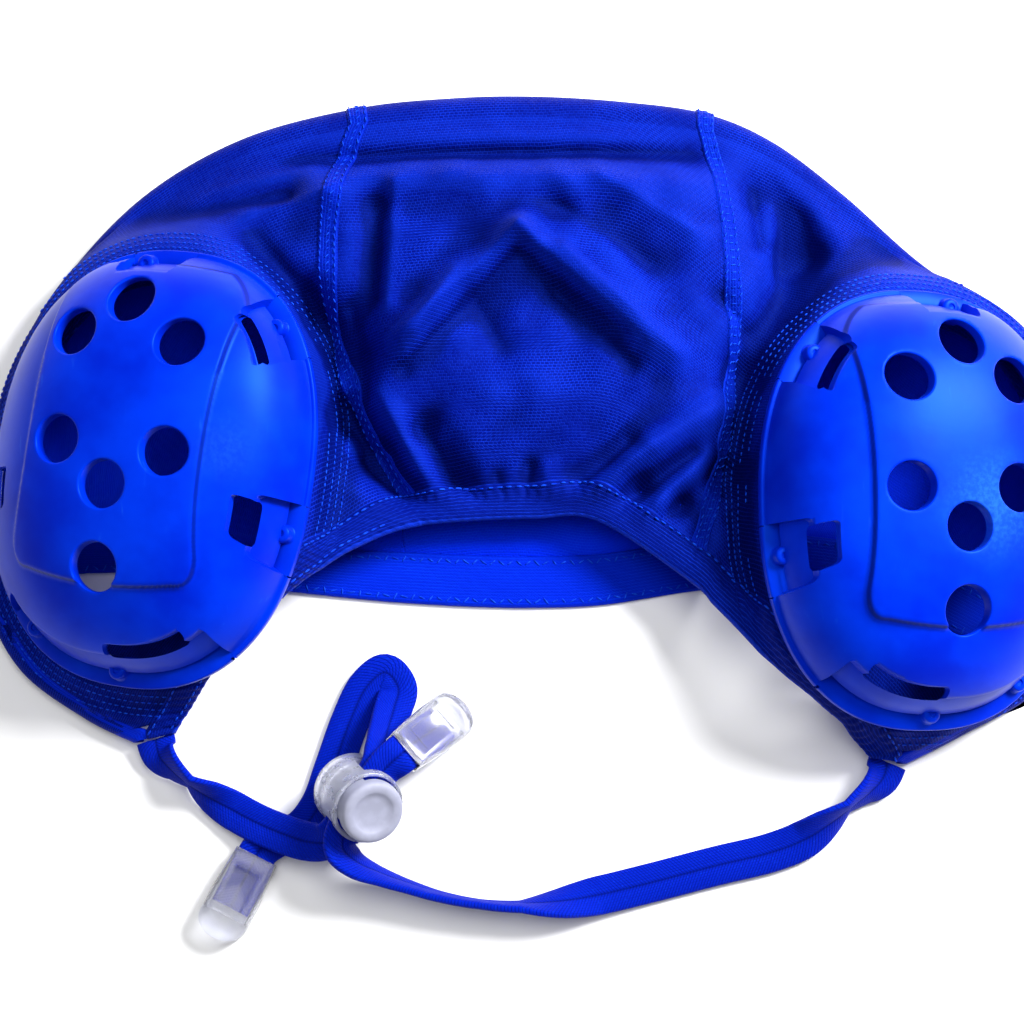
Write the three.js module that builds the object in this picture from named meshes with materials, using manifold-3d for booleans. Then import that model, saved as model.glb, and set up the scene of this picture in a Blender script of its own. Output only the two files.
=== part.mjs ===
// A water polo cap lying flat, front panel up, with its two ear guards and its chin tape.
// Millimetres, +Z up, origin on the floor under the middle of the cap. +X is the wearer's
// left as the cap lies, +Y points to the crown, and the head goes in from -Y.
import * as THREE from "three";
import Module from "manifold-3d";
import * as BufferGeometryUtils from "three/addons/utils/BufferGeometryUtils.js";

const wasm = await Module();
wasm.setup();

// Cloth
const CAP_WIDTH = 275;
const CAP_LENGTH = 171;
const CLOTH_WALL = 1.2;
const CLOTH_RISE = 20;
const HEM_WALL = 1.6;
const FRONT_HEM_WIDTH = 9;
const BACK_HEM_WIDTH = 13;
const FOLD_DEPTH = 7;
const FOLD_REACH = 9;
const SEAM_BOW = 15;
const GAP = 0.3;
const HEM_GAP = 0.85;
const SEAM_GAP = 0.6;

// Ear guards
const GUARD_WIDTH = 82;
const GUARD_LENGTH = 106;
const GUARD_HEIGHT = 27;
const GUARD_WALL = 2;
const GUARD_FLANGE = 2.6;
const GUARD_SQUARENESS = 2.35;
const GUARD_TILT = 17;
const GUARD_PITCH = 4;
const GUARD_CENTRE_Z = 19.2;
const PLATE_RISE = 1.3;
const PLATE_WIDTH = 47;
const PLATE_TOP = 48;
const PLATE_BOTTOM = -28;
const HOLE_DIAMETER = 11.5;
const HOLE_SIDES = 10;
const NOTCH_DEPTH = 6;
const NOTCH_HEIGHT = 18;
const PEG_DIAMETER = 4.4;
const PEG_HEIGHT = 3.4;
const SLOT_HEIGHT = 2.4;
const EAR_OPENING_SHARE = 0.86;

// Chin tape, its lock and its ends
const TAPE_WIDTH = 9.5;
const TAPE_THICK = 2.3;
const LOCK_DIAMETER = 18;
const LOCK_LENGTH = 14.5;
const LOCK_FLOOR = 1.2;
const BUTTON_DIAMETER = 15.4;
const BUTTON_PROUD = 3.6;
const BUTTON_TRAVEL = 3;
const CHANNEL_HEIGHT = 9;
const TAPE_CLEARANCE = 0.6;
const END_LENGTH = 22;
const END_WIDTH = 12;
const END_THICK = 6;
const END_POCKET = 17;
const END_WINDOW_WIDTH = 6.4;
const END_WINDOW_LENGTH = 10;

const CLOTH_BLUE = new THREE.Color(0.01, 0.03, 0.45);
const GUARD_BLUE = new THREE.Color(0.0, 0.05, 0.85);
const CLEAR_WHITE = new THREE.Color(0.78, 0.78, 0.88);

const table = (columns, rows) =>
  rows.map((row) => Object.fromEntries(columns.split(" ").map((name, i) => [name, row[i]])));

// The cloth's sections, left tip to right tip: the front hem, the folded outline and the back
// hem in plan, and the bow of the line between them, then the height of the hem and of the
// middle, and the radius of the fold. Plan places are shares of half the cap's width and
// length, the bow of SEAM_BOW, and heights and radii of CLOTH_RISE.
const SECTIONS = table("hemX hemY foldX foldY backX backY bow hemLift midLift radius", [
  [-0.640, -0.900, -0.716, -0.925, -0.700, -0.905, 0.0, 0.26, 0.26, 0.120],
  [-0.590, -0.790, -0.805, -0.855, -0.788, -0.830, 0.0, 0.36, 0.34, 0.120],
  [-0.530, -0.680, -0.920, -0.720, -0.895, -0.700, 0.0, 0.56, 0.40, 0.120],
  [-0.465, -0.580, -0.985, -0.530, -0.940, -0.545, 0.0, 0.80, 0.50, 0.120],
  [-0.400, -0.480, -1.000, -0.300, -0.880, -0.450, 0.0, 0.90, 0.60, 0.115],
  [-0.340, -0.405, -0.990, -0.060, -0.760, -0.430, 0.0, 0.86, 0.65, 0.110],
  [-0.290, -0.360, -0.955, 0.190, -0.620, -0.450, -0.1, 0.76, 0.65, 0.110],
  [-0.255, -0.335, -0.860, 0.455, -0.500, -0.475, -0.3, 0.70, 0.65, 0.120],
  [-0.225, -0.320, -0.720, 0.700, -0.390, -0.495, -0.6, 0.66, 0.68, 0.160],
  [-0.205, -0.312, -0.540, 0.870, -0.300, -0.510, -0.9, 0.62, 0.72, 0.220],
  [-0.190, -0.308, -0.330, 0.960, -0.225, -0.520, -1.0, 0.60, 0.78, 0.270],
  [-0.100, -0.297, -0.150, 0.990, -0.110, -0.530, -0.4, 0.60, 1.00, 0.290],
  [0.000, -0.292, 0.000, 0.995, 0.000, -0.533, 0.0, 0.60, 1.05, 0.290],
  [0.110, -0.300, 0.160, 0.980, 0.120, -0.525, 0.3, 0.64, 1.00, 0.280],
  [0.270, -0.480, 0.315, 0.945, 0.260, -0.490, 0.6, 0.80, 0.80, 0.260],
  [0.310, -0.550, 0.440, 0.860, 0.340, -0.475, 0.55, 0.90, 0.75, 0.220],
  [0.350, -0.620, 0.570, 0.700, 0.430, -0.465, 0.5, 0.98, 0.70, 0.180],
  [0.390, -0.690, 0.720, 0.480, 0.560, -0.455, 0.4, 0.98, 0.66, 0.140],
  [0.430, -0.750, 0.900, 0.290, 0.690, -0.455, 0.2, 0.84, 0.65, 0.115],
  [0.470, -0.800, 0.985, 0.040, 0.810, -0.460, 0.0, 0.66, 0.65, 0.110],
  [0.505, -0.845, 1.000, -0.230, 0.910, -0.480, 0.0, 0.52, 0.60, 0.115],
  [0.535, -0.880, 0.985, -0.540, 0.935, -0.590, 0.0, 0.42, 0.50, 0.120],
  [0.555, -0.915, 0.900, -0.770, 0.870, -0.740, 0.0, 0.34, 0.42, 0.120],
  [0.575, -0.945, 0.760, -0.905, 0.735, -0.885, 0.0, 0.30, 0.34, 0.120],
  [0.590, -0.970, 0.660, -0.985, 0.644, -0.968, 0.0, 0.26, 0.26, 0.120],
]);
const SEAM_LEFT_ROW = 10;
const SEAM_RIGHT_ROW = 14;
const TIP_ROWS = 4;

// Rows of a side panel, from its tip to its seam, which crowd where the hem goes over the fold.
const SIDE_ROWS = [
  0, 0.13, 0.21, 0.25, 0.27, 0.285, 0.3, 0.315, 0.33, 0.4, 0.49, 0.59, 0.69, 0.79, 0.89, 1,
];

// Folds of the front layer: two ends in plan, as shares of half the cap's width and length, then
// the rise, below 0 for a valley, and the reach to each side, as shares of FOLD_DEPTH and
// FOLD_REACH.
const FOLDS = table("x1 y1 x2 y2 rise reach", [
  [-0.43, 0.81, 0.28, 0.80, -0.55, 0.45],
  [-0.40, 0.70, 0.30, 0.70, 0.30, 0.60],
  [-0.03, 0.51, -0.24, 0.20, 0.75, 0.70],
  [-0.03, 0.51, 0.20, 0.19, 0.70, 0.70],
  [0.05, 0.66, 0.19, 0.34, 0.40, 0.50],
  [-0.50, 0.45, -0.38, 0.26, -0.90, 0.60],
  [-0.38, 0.26, -0.355, 0.02, -1.00, 0.60],
  [-0.355, 0.02, -0.20, -0.27, -0.90, 0.60],
  [-0.19, -0.05, -0.09, -0.28, -0.55, 0.50],
  [0.43, 0.78, 0.49, 0.51, -0.90, 0.60],
  [0.49, 0.51, 0.38, 0.14, -1.00, 0.65],
  [0.38, 0.14, 0.345, -0.16, -0.90, 0.60],
  [0.345, -0.16, 0.39, -0.50, -0.60, 0.50],
  [0.33, 0.02, 0.06, -0.24, 0.55, 0.45],
  [0.34, -0.10, 0.20, -0.30, 0.45, 0.40],
]);

// Ear guards: the middle of the rim in shares of half the cap's width and length, and how far the
// long axis leans towards +X in degrees.
const GUARDS = table("name side x y lean", [
  ["guard_left", -1, -0.669, -0.164, 9.5],
  ["guard_right", 1, 0.669, -0.281, -2],
]);

// Round holes in a guard, from its middle, in shares of half its width outwards to the edge of the
// cap and of half its length up its long axis.
const HOLES = table("out up", [
  [0.07, 0.715], [-0.3, 0.54], [0.365, 0.54], [-0.34, 0.05], [0.33, 0.05], [0, -0.125], [0, -0.487],
]);

// Notches round a guard's rim: the angle from the side nearest the crown's middle, the width,
// how far the peg stands from the notch's middle, and the width of the slot in the wall behind
// it, or 0. The long notch at the guard's foot is made of four.
const NOTCHES = table("angle width pegShift slotWidth", [
  [95, 17, 4, 0], [50, 15, 2, 10], [-18, 15, 0, 10], [-70, 17, null, 0],
  [-85, 22, 0, 18], [-103, 20, null, 0], [-121, 18, 0, 0], [-162, 15, 0, 10],
]);

// Chin tape routes, laid by hand: a place, and the turn of the flat section about the route.
const TAPE_LEFT_ROUTE = table("x y z roll", [
  [-92.9, -78.4, 3.4, 0], [-91.8, -81.8, 3.8, 20], [-88.2, -85.4, 5.2, 60], [-84.0, -88.8, 5.6, 80],
  [-79.6, -91.8, 4.6, 45],
  [-73.6, -95.6, 2.9, 8], [-67.2, -99.0, 4.2, 0], [-60.2, -101.8, 6.2, 2], [-54.2, -103.4, 8.4, 12],
  [-50.4, -103.2, 9.7, 26], [-47.5, -100.6, 10.4, 34], [-42.7, -93.1, 11.8, 34],
  [-37.9, -85.6, 13.1, 34], [-37.2, -81.2, 11.2, 40], [-36.4, -76.6, 7.8, 34],
  [-34.8, -70.8, 4.4, 12], [-33.8, -65.6, 1.9, 0], [-37.0, -61.8, 1.5, 0], [-41.3, -65.0, 1.4, 0],
  [-45.4, -73.4, 1.4, 0], [-49.2, -84.4, 1.4, 0], [-52.8, -94.4, 1.4, 0], [-57.4, -100.2, 1.4, 0],
  [-63.0, -102.2, 1.7, 0], [-67.0, -105.2, 3.0, 0], [-68.6, -108.4, 3.15, 0],
  [-74.0, -119.1, 3.15, 0],
]);
const TAPE_RIGHT_ROUTE = table("x y z roll", [
  [85.9, -84.1, 3.4, 0], [84.4, -87.6, 3.8, -20], [80.6, -91.0, 5.2, -60], [75.6, -94.8, 5.6, -80],
  [70.6, -98.8, 4.6, -45],
  [64.8, -102.8, 2.7, -10], [57.0, -105.8, 1.6, 0], [44.0, -108.9, 1.4, 0], [28.0, -113.0, 1.4, 0],
  [15.6, -116.0, 2.2, 8], [5.9, -118.0, 4.5, 45], [-3.8, -118.8, 5.4, 80], [-13.5, -118.2, 5.4, 85],
  [-23.1, -116.4, 5.6, 82], [-31.4, -113.8, 6.4, 76], [-38.4, -111.2, 8.3, 66],
  [-43.6, -108.6, 10.8, 50], [-46.6, -105.4, 12.3, 38], [-46.3, -101.7, 12.8, 34],
  [-41.5, -94.2, 14.2, 34], [-36.4, -86.3, 15.6, 33], [-32.8, -83.3, 15.9, 8],
  [-31.1, -81.8, 14.4, 0], [-23.0, -74.9, 7.1, 0],
]);

// The lock leans on the tapes: the middle of its base, its axis and the way through it.
const LOCK_BASE = new THREE.Vector3(-45.7, -90, 5.6);
const LOCK_AXIS = new THREE.Vector3(0.402, -0.407, 0.82).normalize();
const LOCK_WAY = new THREE.Vector3(0.535, 0.832, 0.15);

// The tape's two ends: the mouth and the tip of each, and the turn about its length.
const TAPE_ENDS = table("name mouthX mouthY mouthZ tipX tipY tipZ", [
  ["cord_end_a", -67.7, -106.6, 3.15, -77.65, -126.2, 3.15],
  ["cord_end_b", -31.8, -82.4, 15.0, -18.0, -70.6, 2.6],
]);

const HALF_WIDTH = CAP_WIDTH / 2;
const HALF_LENGTH = CAP_LENGTH / 2;
const radians = THREE.MathUtils.degToRad;
const smooth = THREE.MathUtils.smoothstep;
const mix = THREE.MathUtils.lerp;

// Interpolates a table column smoothly between its rows.
function cubic(a, b, c, d, u) {
  const m0 = (c - a) / 2;
  const m1 = (d - b) / 2;
  const u2 = u * u;
  const u3 = u2 * u;
  return (2 * u3 - 3 * u2 + 1) * b + (u3 - 2 * u2 + u) * m0 + (3 * u2 - 2 * u3) * c + (u3 - u2) * m1;
}

// One section of the cloth, at a place along the table of sections.
function section(row) {
  const last = SECTIONS.length - 1;
  const i = THREE.MathUtils.clamp(Math.floor(row), 0, last - 1);
  const rows = [i - 1, i, i + 1, i + 2].map((k) => SECTIONS[THREE.MathUtils.clamp(k, 0, last)]);
  const at = (name) => cubic(...rows.map((r) => r[name]), row - i);
  const hem = new THREE.Vector2(at("hemX") * HALF_WIDTH, at("hemY") * HALF_LENGTH);
  const fold = new THREE.Vector2(at("foldX") * HALF_WIDTH, at("foldY") * HALF_LENGTH);
  const back = new THREE.Vector2(at("backX") * HALF_WIDTH, at("backY") * HALF_LENGTH);
  const radius = at("radius") * CLOTH_RISE;
  const outward = fold.clone().sub(hem).normalize();
  const turn = fold.clone().addScaledVector(outward, -radius);
  const front = turn.distanceTo(hem);
  const round = Math.PI * radius;
  return {
    hem, turn, back, outward, radius, front, round,
    total: front + round + turn.distanceTo(back),
    bow: at("bow") * SEAM_BOW,
    hemLift: at("hemLift") * CLOTH_RISE,
    midLift: at("midLift") * CLOTH_RISE,
  };
}

// The frame of a guard: its rim's middle, its outward and long axes, and the way out of the cap.
function guardFrame(guard) {
  const turn = new THREE.Quaternion().setFromEuler(
    new THREE.Euler(radians(GUARD_PITCH), radians(guard.side * GUARD_TILT), radians(-guard.lean), "YXZ"));
  const axis = (x, y, z) => new THREE.Vector3(x, y, z).applyQuaternion(turn);
  return {
    turn,
    middle: new THREE.Vector3(guard.x * HALF_WIDTH, guard.y * HALF_LENGTH, GUARD_CENTRE_Z),
    out: axis(guard.side, 0, 0),
    up: axis(0, 1, 0),
    normal: axis(0, 0, 1),
  };
}
const GUARD_FRAMES = GUARDS.map(guardFrame);

// The radius of the guard's rim in a direction, a squared oval.
function rimRadius(angle, inset = 0) {
  const a = GUARD_WIDTH / 2 - inset;
  const b = GUARD_LENGTH / 2 - inset;
  const n = GUARD_SQUARENESS;
  return (Math.abs(Math.cos(angle) / a) ** n + Math.abs(Math.sin(angle) / b) ** n) ** (-1 / n);
}

// How far out of a guard's rim a plan place lies, as a share of the rim, the rim's height there,
// and how much the place faces the cap's middle or its tip, where the cloth drops away, 0 to 1.
function guardAt(frame, x, y) {
  const slope = (x - frame.middle.x) * frame.normal.x + (y - frame.middle.y) * frame.normal.y;
  const z = frame.middle.z - slope / frame.normal.z;
  const offset = new THREE.Vector3(x, y, z).sub(frame.middle);
  const u = offset.dot(frame.out);
  const v = offset.dot(frame.up);
  const away = Math.max(Math.hypot(u, v), 1e-6);
  const drop = Math.max(smooth(-u / away, 0, 0.6), smooth(-v / away, 0.5, 0.9));
  return { share: away / rimRadius(Math.atan2(v, u)), z, drop };
}

// The height that a fold adds at a plan place.
function foldHeight(fold, x, y) {
  const x1 = fold.x1 * HALF_WIDTH;
  const y1 = fold.y1 * HALF_LENGTH;
  const dx = fold.x2 * HALF_WIDTH - x1;
  const dy = fold.y2 * HALF_LENGTH - y1;
  const along = THREE.MathUtils.clamp(((x - x1) * dx + (y - y1) * dy) / (dx * dx + dy * dy), 0, 1);
  const away = Math.hypot(x - x1 - along * dx, y - y1 - along * dy) / (fold.reach * FOLD_REACH);
  return fold.rise * FOLD_DEPTH * Math.exp(-away * away);
}

// The height of the front layer's outer face.
function frontHeight(s, part, x, y) {
  const body = mix(s.hemLift, s.midLift, smooth(part, 0, 0.35));
  const folds = FOLDS.reduce((sum, fold) => sum + foldHeight(fold, x, y), 0);
  const edge = smooth(part, 0.78, 1);
  let z = mix(body + folds * smooth(part, 0, 0.12), 2 * s.radius, edge);
  for (const frame of GUARD_FRAMES) {
    const guard = guardAt(frame, x, y);
    const seat = guard.z - GAP;
    const leave = mix(0.98, 0.89, guard.drop);
    const free = mix(1.3, 1.12, guard.drop);
    z = mix(seat, z, smooth(guard.share, leave, free));
    if (guard.share < 1.5) z = Math.min(z, seat);
  }
  return z;
}

// A place on the cloth's outer face: across the front, round the fold and along the back.
function cloth(row, distance) {
  const s = section(row);
  if (distance <= s.front) {
    const part = distance / s.front;
    const plan = s.hem.clone().lerp(s.turn, part);
    plan.x += s.bow * 4 * part * (1 - part);
    return new THREE.Vector3(plan.x, plan.y, frontHeight(s, part, plan.x, plan.y));
  }
  const turned = distance - s.front;
  if (turned <= s.round) {
    const angle = turned / s.radius;
    const plan = s.turn.clone().addScaledVector(s.outward, s.radius * Math.sin(angle));
    return new THREE.Vector3(plan.x, plan.y, s.radius * (1 + Math.cos(angle)));
  }
  const part = (turned - s.round) / (s.total - s.front - s.round);
  const plan = s.turn.clone().lerp(s.back, part);
  return new THREE.Vector3(plan.x, plan.y, 0);
}

// The cloth's outer face and its outward direction.
function clothNormal(row, distance) {
  const step = 0.4;
  const rowStep = step / rowLength(row, distance);
  const a = cloth(row - rowStep, distance);
  const b = cloth(row + rowStep, distance);
  const c = cloth(row, distance - step);
  const d = cloth(row, distance + step);
  return b.sub(a).cross(d.sub(c)).normalize();
}

// How many millimetres one row of the table of sections covers at a place.
function rowLength(row, distance) {
  const step = 0.02;
  return cloth(row - step, distance).distanceTo(cloth(row + step, distance)) / (2 * step);
}

// Widths of the two hems, which share the narrow cloth of the tips.
function hemWidths(s) {
  const share = FRONT_HEM_WIDTH / (FRONT_HEM_WIDTH + BACK_HEM_WIDTH);
  const room = s.total - HEM_GAP;
  return {
    front: Math.min(FRONT_HEM_WIDTH, room * share),
    back: Math.min(BACK_HEM_WIDTH, room * (1 - share)),
  };
}

// Columns crowd where the cloth turns over: so many across the front, round the fold and back.
const FRONT_COLUMNS = 15;
const ROUND_COLUMNS = 4;
const BACK_COLUMNS = 3;
const CENTRE_STEPS = 15;
function columnAt(s, distance) {
  if (distance < s.front) return FRONT_COLUMNS * distance / s.front;
  const turned = distance - s.front;
  if (turned < s.round) return FRONT_COLUMNS + ROUND_COLUMNS * turned / s.round;
  const rest = s.total - s.front - s.round;
  return FRONT_COLUMNS + ROUND_COLUMNS + BACK_COLUMNS * (turned - s.round) / rest;
}
function distanceAt(s, column) {
  if (column < FRONT_COLUMNS) return s.front * column / FRONT_COLUMNS;
  const turned = column - FRONT_COLUMNS;
  if (turned < ROUND_COLUMNS) return s.front + s.round * turned / ROUND_COLUMNS;
  const rest = s.total - s.front - s.round;
  return s.front + s.round + rest * (turned - ROUND_COLUMNS) / BACK_COLUMNS;
}

// A closed piece of cloth over a list of rows, its outer face and its wall inside it.
function clothPiece(rows, columnSteps, wall, span) {
  const outer = [];
  const inner = [];
  const rowSteps = rows.length - 1;
  for (let i = 0; i <= rowSteps; i += 1) {
    const seamRow = rows[i];
    const s = section(seamRow);
    const [start, end] = span(s).map((distance) => columnAt(s, distance));
    for (let k = 0; k <= columnSteps; k += 1) {
      const distance = distanceAt(s, mix(start, end, k / columnSteps));
      let row = seamRow;
      if (i === 0) row += SEAM_GAP / 2 / rowLength(row, distance);
      if (i === rowSteps) row -= SEAM_GAP / 2 / rowLength(row, distance);
      const point = cloth(row, distance);
      outer.push(point);
      inner.push(point.clone().addScaledVector(clothNormal(row, distance), -wall));
    }
  }
  return closedSheet(outer, inner, rowSteps, columnSteps);
}

// Closes two grids of points, outer and inner, into one body.
function closedSheet(outer, inner, rowSteps, columnSteps) {
  const across = columnSteps + 1;
  const count = outer.length;
  const index = [];
  const quad = (a, b, c, d) => index.push(a, b, c, a, c, d);
  const at = (i, k) => i * across + k;
  for (let i = 0; i < rowSteps; i += 1) {
    for (let k = 0; k < columnSteps; k += 1) {
      quad(at(i, k), at(i + 1, k), at(i + 1, k + 1), at(i, k + 1));
      quad(count + at(i, k), count + at(i, k + 1), count + at(i + 1, k + 1), count + at(i + 1, k));
    }
    quad(at(i, 0), count + at(i, 0), count + at(i + 1, 0), at(i + 1, 0));
    const k = columnSteps;
    quad(at(i, k), at(i + 1, k), count + at(i + 1, k), count + at(i, k));
  }
  for (let k = 0; k < columnSteps; k += 1) {
    quad(at(0, k), at(0, k + 1), count + at(0, k + 1), count + at(0, k));
    const i = rowSteps;
    quad(at(i, k), count + at(i, k), count + at(i, k + 1), at(i, k + 1));
  }
  const positions = [...outer, ...inner].flatMap((p) => p.toArray());
  const geometry = new THREE.BufferGeometry();
  geometry.setAttribute("position", new THREE.Float32BufferAttribute(positions, 3));
  geometry.setIndex(index);
  return geometry;
}

// Between geometry and solids for cuts and joins.
function toSolid(geometry) {
  const bare = geometry.clone();
  bare.deleteAttribute("normal");
  bare.deleteAttribute("uv");
  const merged = BufferGeometryUtils.mergeVertices(bare, 1e-4);
  return new wasm.Manifold(new wasm.Mesh({
    numProp: 3,
    vertProperties: new Float32Array(merged.attributes.position.array),
    triVerts: new Uint32Array(merged.index.array),
  }));
}
function toGeometry(solid) {
  const mesh = solid.getMesh();
  const geometry = new THREE.BufferGeometry();
  geometry.setAttribute("position", new THREE.BufferAttribute(new Float32Array(mesh.vertProperties), 3));
  geometry.setIndex(Array.from(mesh.triVerts));
  return geometry;
}
const placed = (geometry, frame) =>
  geometry.applyMatrix4(new THREE.Matrix4().compose(frame.middle, frame.turn, new THREE.Vector3(1, 1, 1)));

// A dome over the guard's oval: shares of the rim's radius and heights, turned about the normal.
const DOME = table("share rise", [
  [0, 1.0], [0.21, 0.985], [0.42, 0.935], [0.61, 0.85], [0.77, 0.71], [0.88, 0.53], [0.94, 0.32],
  [0.97, 0.1],
]);
const DOME_SIDES = 28;
function dome(inset, foot, flange) {
  const top = GUARD_HEIGHT - inset;
  const profile = DOME.map((row) => new THREE.Vector2(row.share, row.rise * top));
  const edge = DOME[DOME.length - 1].share;
  if (flange) profile.push(new THREE.Vector2(edge, GUARD_FLANGE), new THREE.Vector2(1, GUARD_FLANGE));
  profile.push(new THREE.Vector2(flange ? 1 : edge, foot), new THREE.Vector2(0, foot));
  const heights = profile.filter((p, i) => i === 0 || p.distanceTo(profile[i - 1]) > 1e-6);
  const geometry = new THREE.LatheGeometry(heights.reverse(), DOME_SIDES);
  geometry.rotateX(Math.PI / 2);
  const position = geometry.attributes.position;
  for (let i = 0; i < position.count; i += 1) {
    const x = position.getX(i);
    const y = position.getY(i);
    const radius = Math.hypot(x, y) * rimRadius(Math.atan2(y, x), inset);
    const angle = Math.atan2(y, x);
    position.setXY(i, radius * Math.cos(angle), radius * Math.sin(angle));
  }
  return toSolid(geometry);
}

// The raised plate in the middle of a guard, as a tall prism.
function platePrism() {
  const half = PLATE_WIDTH / 2;
  const shape = new THREE.Shape();
  shape.moveTo(-half * 0.8, PLATE_BOTTOM);
  shape.quadraticCurveTo(0, PLATE_BOTTOM - 4, half * 0.8, PLATE_BOTTOM);
  shape.quadraticCurveTo(half, PLATE_BOTTOM, half, PLATE_BOTTOM + 7);
  shape.quadraticCurveTo(half * 0.9, 0, half, PLATE_TOP - 8);
  shape.lineTo(half * 0.7, PLATE_TOP);
  shape.lineTo(-half * 0.7, PLATE_TOP);
  shape.lineTo(-half, PLATE_TOP - 8);
  shape.quadraticCurveTo(-half * 0.9, 0, -half, PLATE_BOTTOM + 7);
  shape.quadraticCurveTo(-half, PLATE_BOTTOM, -half * 0.8, PLATE_BOTTOM);
  const depth = GUARD_HEIGHT * 2;
  const prism = new THREE.ExtrudeGeometry(shape, { depth, bevelEnabled: false, curveSegments: 4 });
  return prism.translate(0, 0, GUARD_FLANGE + 0.5);
}

// A block that stands on the rim at an angle, from its back wall outwards.
function rimBlock(angle, width, back, low, high) {
  const reach = 20;
  const block = new THREE.BoxGeometry(reach, width, high - low);
  return block.translate(back + reach / 2, 0, (low + high) / 2).rotateZ(angle);
}

function guardGeometry(guard, frame) {
  const away = (notch) => radians(guard.side < 0 ? notch.angle : 180 - notch.angle);
  const depthAt = (notch) => rimRadius(away(notch)) - NOTCH_DEPTH;
  const cutNotches = (solid, grow) => NOTCHES.reduce((rest, notch) => {
    const low = GUARD_FLANGE - grow;
    const block = rimBlock(away(notch), notch.width + 2 * grow, depthAt(notch) - grow, low, NOTCH_HEIGHT + grow);
    return rest.subtract(toSolid(block));
  }, solid);
  const base = dome(0, 0, true);
  const raised = dome(-PLATE_RISE, GUARD_FLANGE, false).intersect(toSolid(platePrism()));
  const outer = cutNotches(base.add(raised), 0);
  const hollow = cutNotches(dome(GUARD_WALL, -1, false), GUARD_WALL);
  let shell = outer.subtract(hollow);
  for (const hole of HOLES) {
    const bore = new THREE.CylinderGeometry(HOLE_DIAMETER / 2, HOLE_DIAMETER / 2, GUARD_HEIGHT * 2, HOLE_SIDES);
    const out = guard.side * hole.out * GUARD_WIDTH / 2;
    bore.rotateX(Math.PI / 2).translate(out, hole.up * GUARD_LENGTH / 2, GUARD_FLANGE + GUARD_HEIGHT);
    shell = shell.subtract(toSolid(bore));
  }
  for (const notch of NOTCHES) {
    const angle = away(notch);
    if (notch.pegShift !== null) {
      const peg = new THREE.CylinderGeometry(PEG_DIAMETER / 2, PEG_DIAMETER / 2, PEG_HEIGHT + 0.5, 8);
      const place = depthAt(notch) + NOTCH_DEPTH / 2;
      const high = GUARD_FLANGE + PEG_HEIGHT / 2 - 0.25;
      peg.rotateX(Math.PI / 2).translate(place, -guard.side * notch.pegShift, high);
      shell = shell.add(toSolid(peg.rotateZ(angle)));
    }
    if (notch.slotWidth) {
      const low = GUARD_FLANGE + 1.2;
      const slot = new THREE.BoxGeometry(3 * GUARD_WALL, notch.slotWidth, SLOT_HEIGHT);
      slot.translate(depthAt(notch), 0, low + SLOT_HEIGHT / 2).rotateZ(angle);
      shell = shell.subtract(toSolid(slot));
    }
  }
  return placed(toGeometry(shell), frame);
}

// The opening in a side panel under a guard, cut through the front layer alone.
function earOpening(frame) {
  const depth = CLOTH_WALL + 2 * GAP + 3;
  const cutter = new THREE.CylinderGeometry(1, 1, depth, DOME_SIDES);
  cutter.rotateX(Math.PI / 2).translate(0, 0, depth / 2 - CLOTH_WALL - 3 * GAP);
  const position = cutter.attributes.position;
  for (let i = 0; i < position.count; i += 1) {
    const angle = Math.atan2(position.getY(i), position.getX(i));
    const radius = Math.hypot(position.getX(i), position.getY(i)) * rimRadius(angle) * EAR_OPENING_SHARE;
    position.setXY(i, radius * Math.cos(angle), radius * Math.sin(angle));
  }
  return toSolid(placed(cutter, frame));
}

// A route whose flat section turns with the roll written at each place.
class TapeRoute extends THREE.CatmullRomCurve3 {
  constructor(route) {
    super(route.map((row) => new THREE.Vector3(row.x, row.y, row.z)), false, "centripetal");
    this.rolls = route.map((row) => row.roll);
  }
  rollAt(t) {
    const place = t * (this.rolls.length - 1);
    const i = Math.min(Math.floor(place), this.rolls.length - 2);
    return radians(mix(this.rolls[i], this.rolls[i + 1], place - i));
  }
  getSpacedPoints(divisions) {
    return this.getPoints(divisions);
  }
  computeFrenetFrames(segments) {
    const frames = { tangents: [], normals: [], binormals: [] };
    for (let i = 0; i <= segments; i += 1) {
      const tangent = this.getTangent(i / segments);
      const face = new THREE.Vector3(0, 0, 1).addScaledVector(tangent, -tangent.z).normalize();
      face.applyAxisAngle(tangent, this.rollAt(i / segments));
      frames.tangents.push(tangent);
      frames.normals.push(face);
      frames.binormals.push(tangent.clone().cross(face));
    }
    return frames;
  }
}
function tapeGeometry(route) {
  const steps = route.length - 1;
  const w = TAPE_WIDTH / 2;
  const t = TAPE_THICK / 2;
  const edge = TAPE_THICK * 0.3;
  const shape = new THREE.Shape([
    [t, w - edge], [t - edge, w], [edge - t, w], [-t, w - edge],
    [-t, edge - w], [edge - t, -w], [t - edge, -w], [t, edge - w],
  ].map(([x, y]) => new THREE.Vector2(x, y)));
  return new THREE.ExtrudeGeometry(shape, { steps, extrudePath: new TapeRoute(route), bevelEnabled: false });
}

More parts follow.
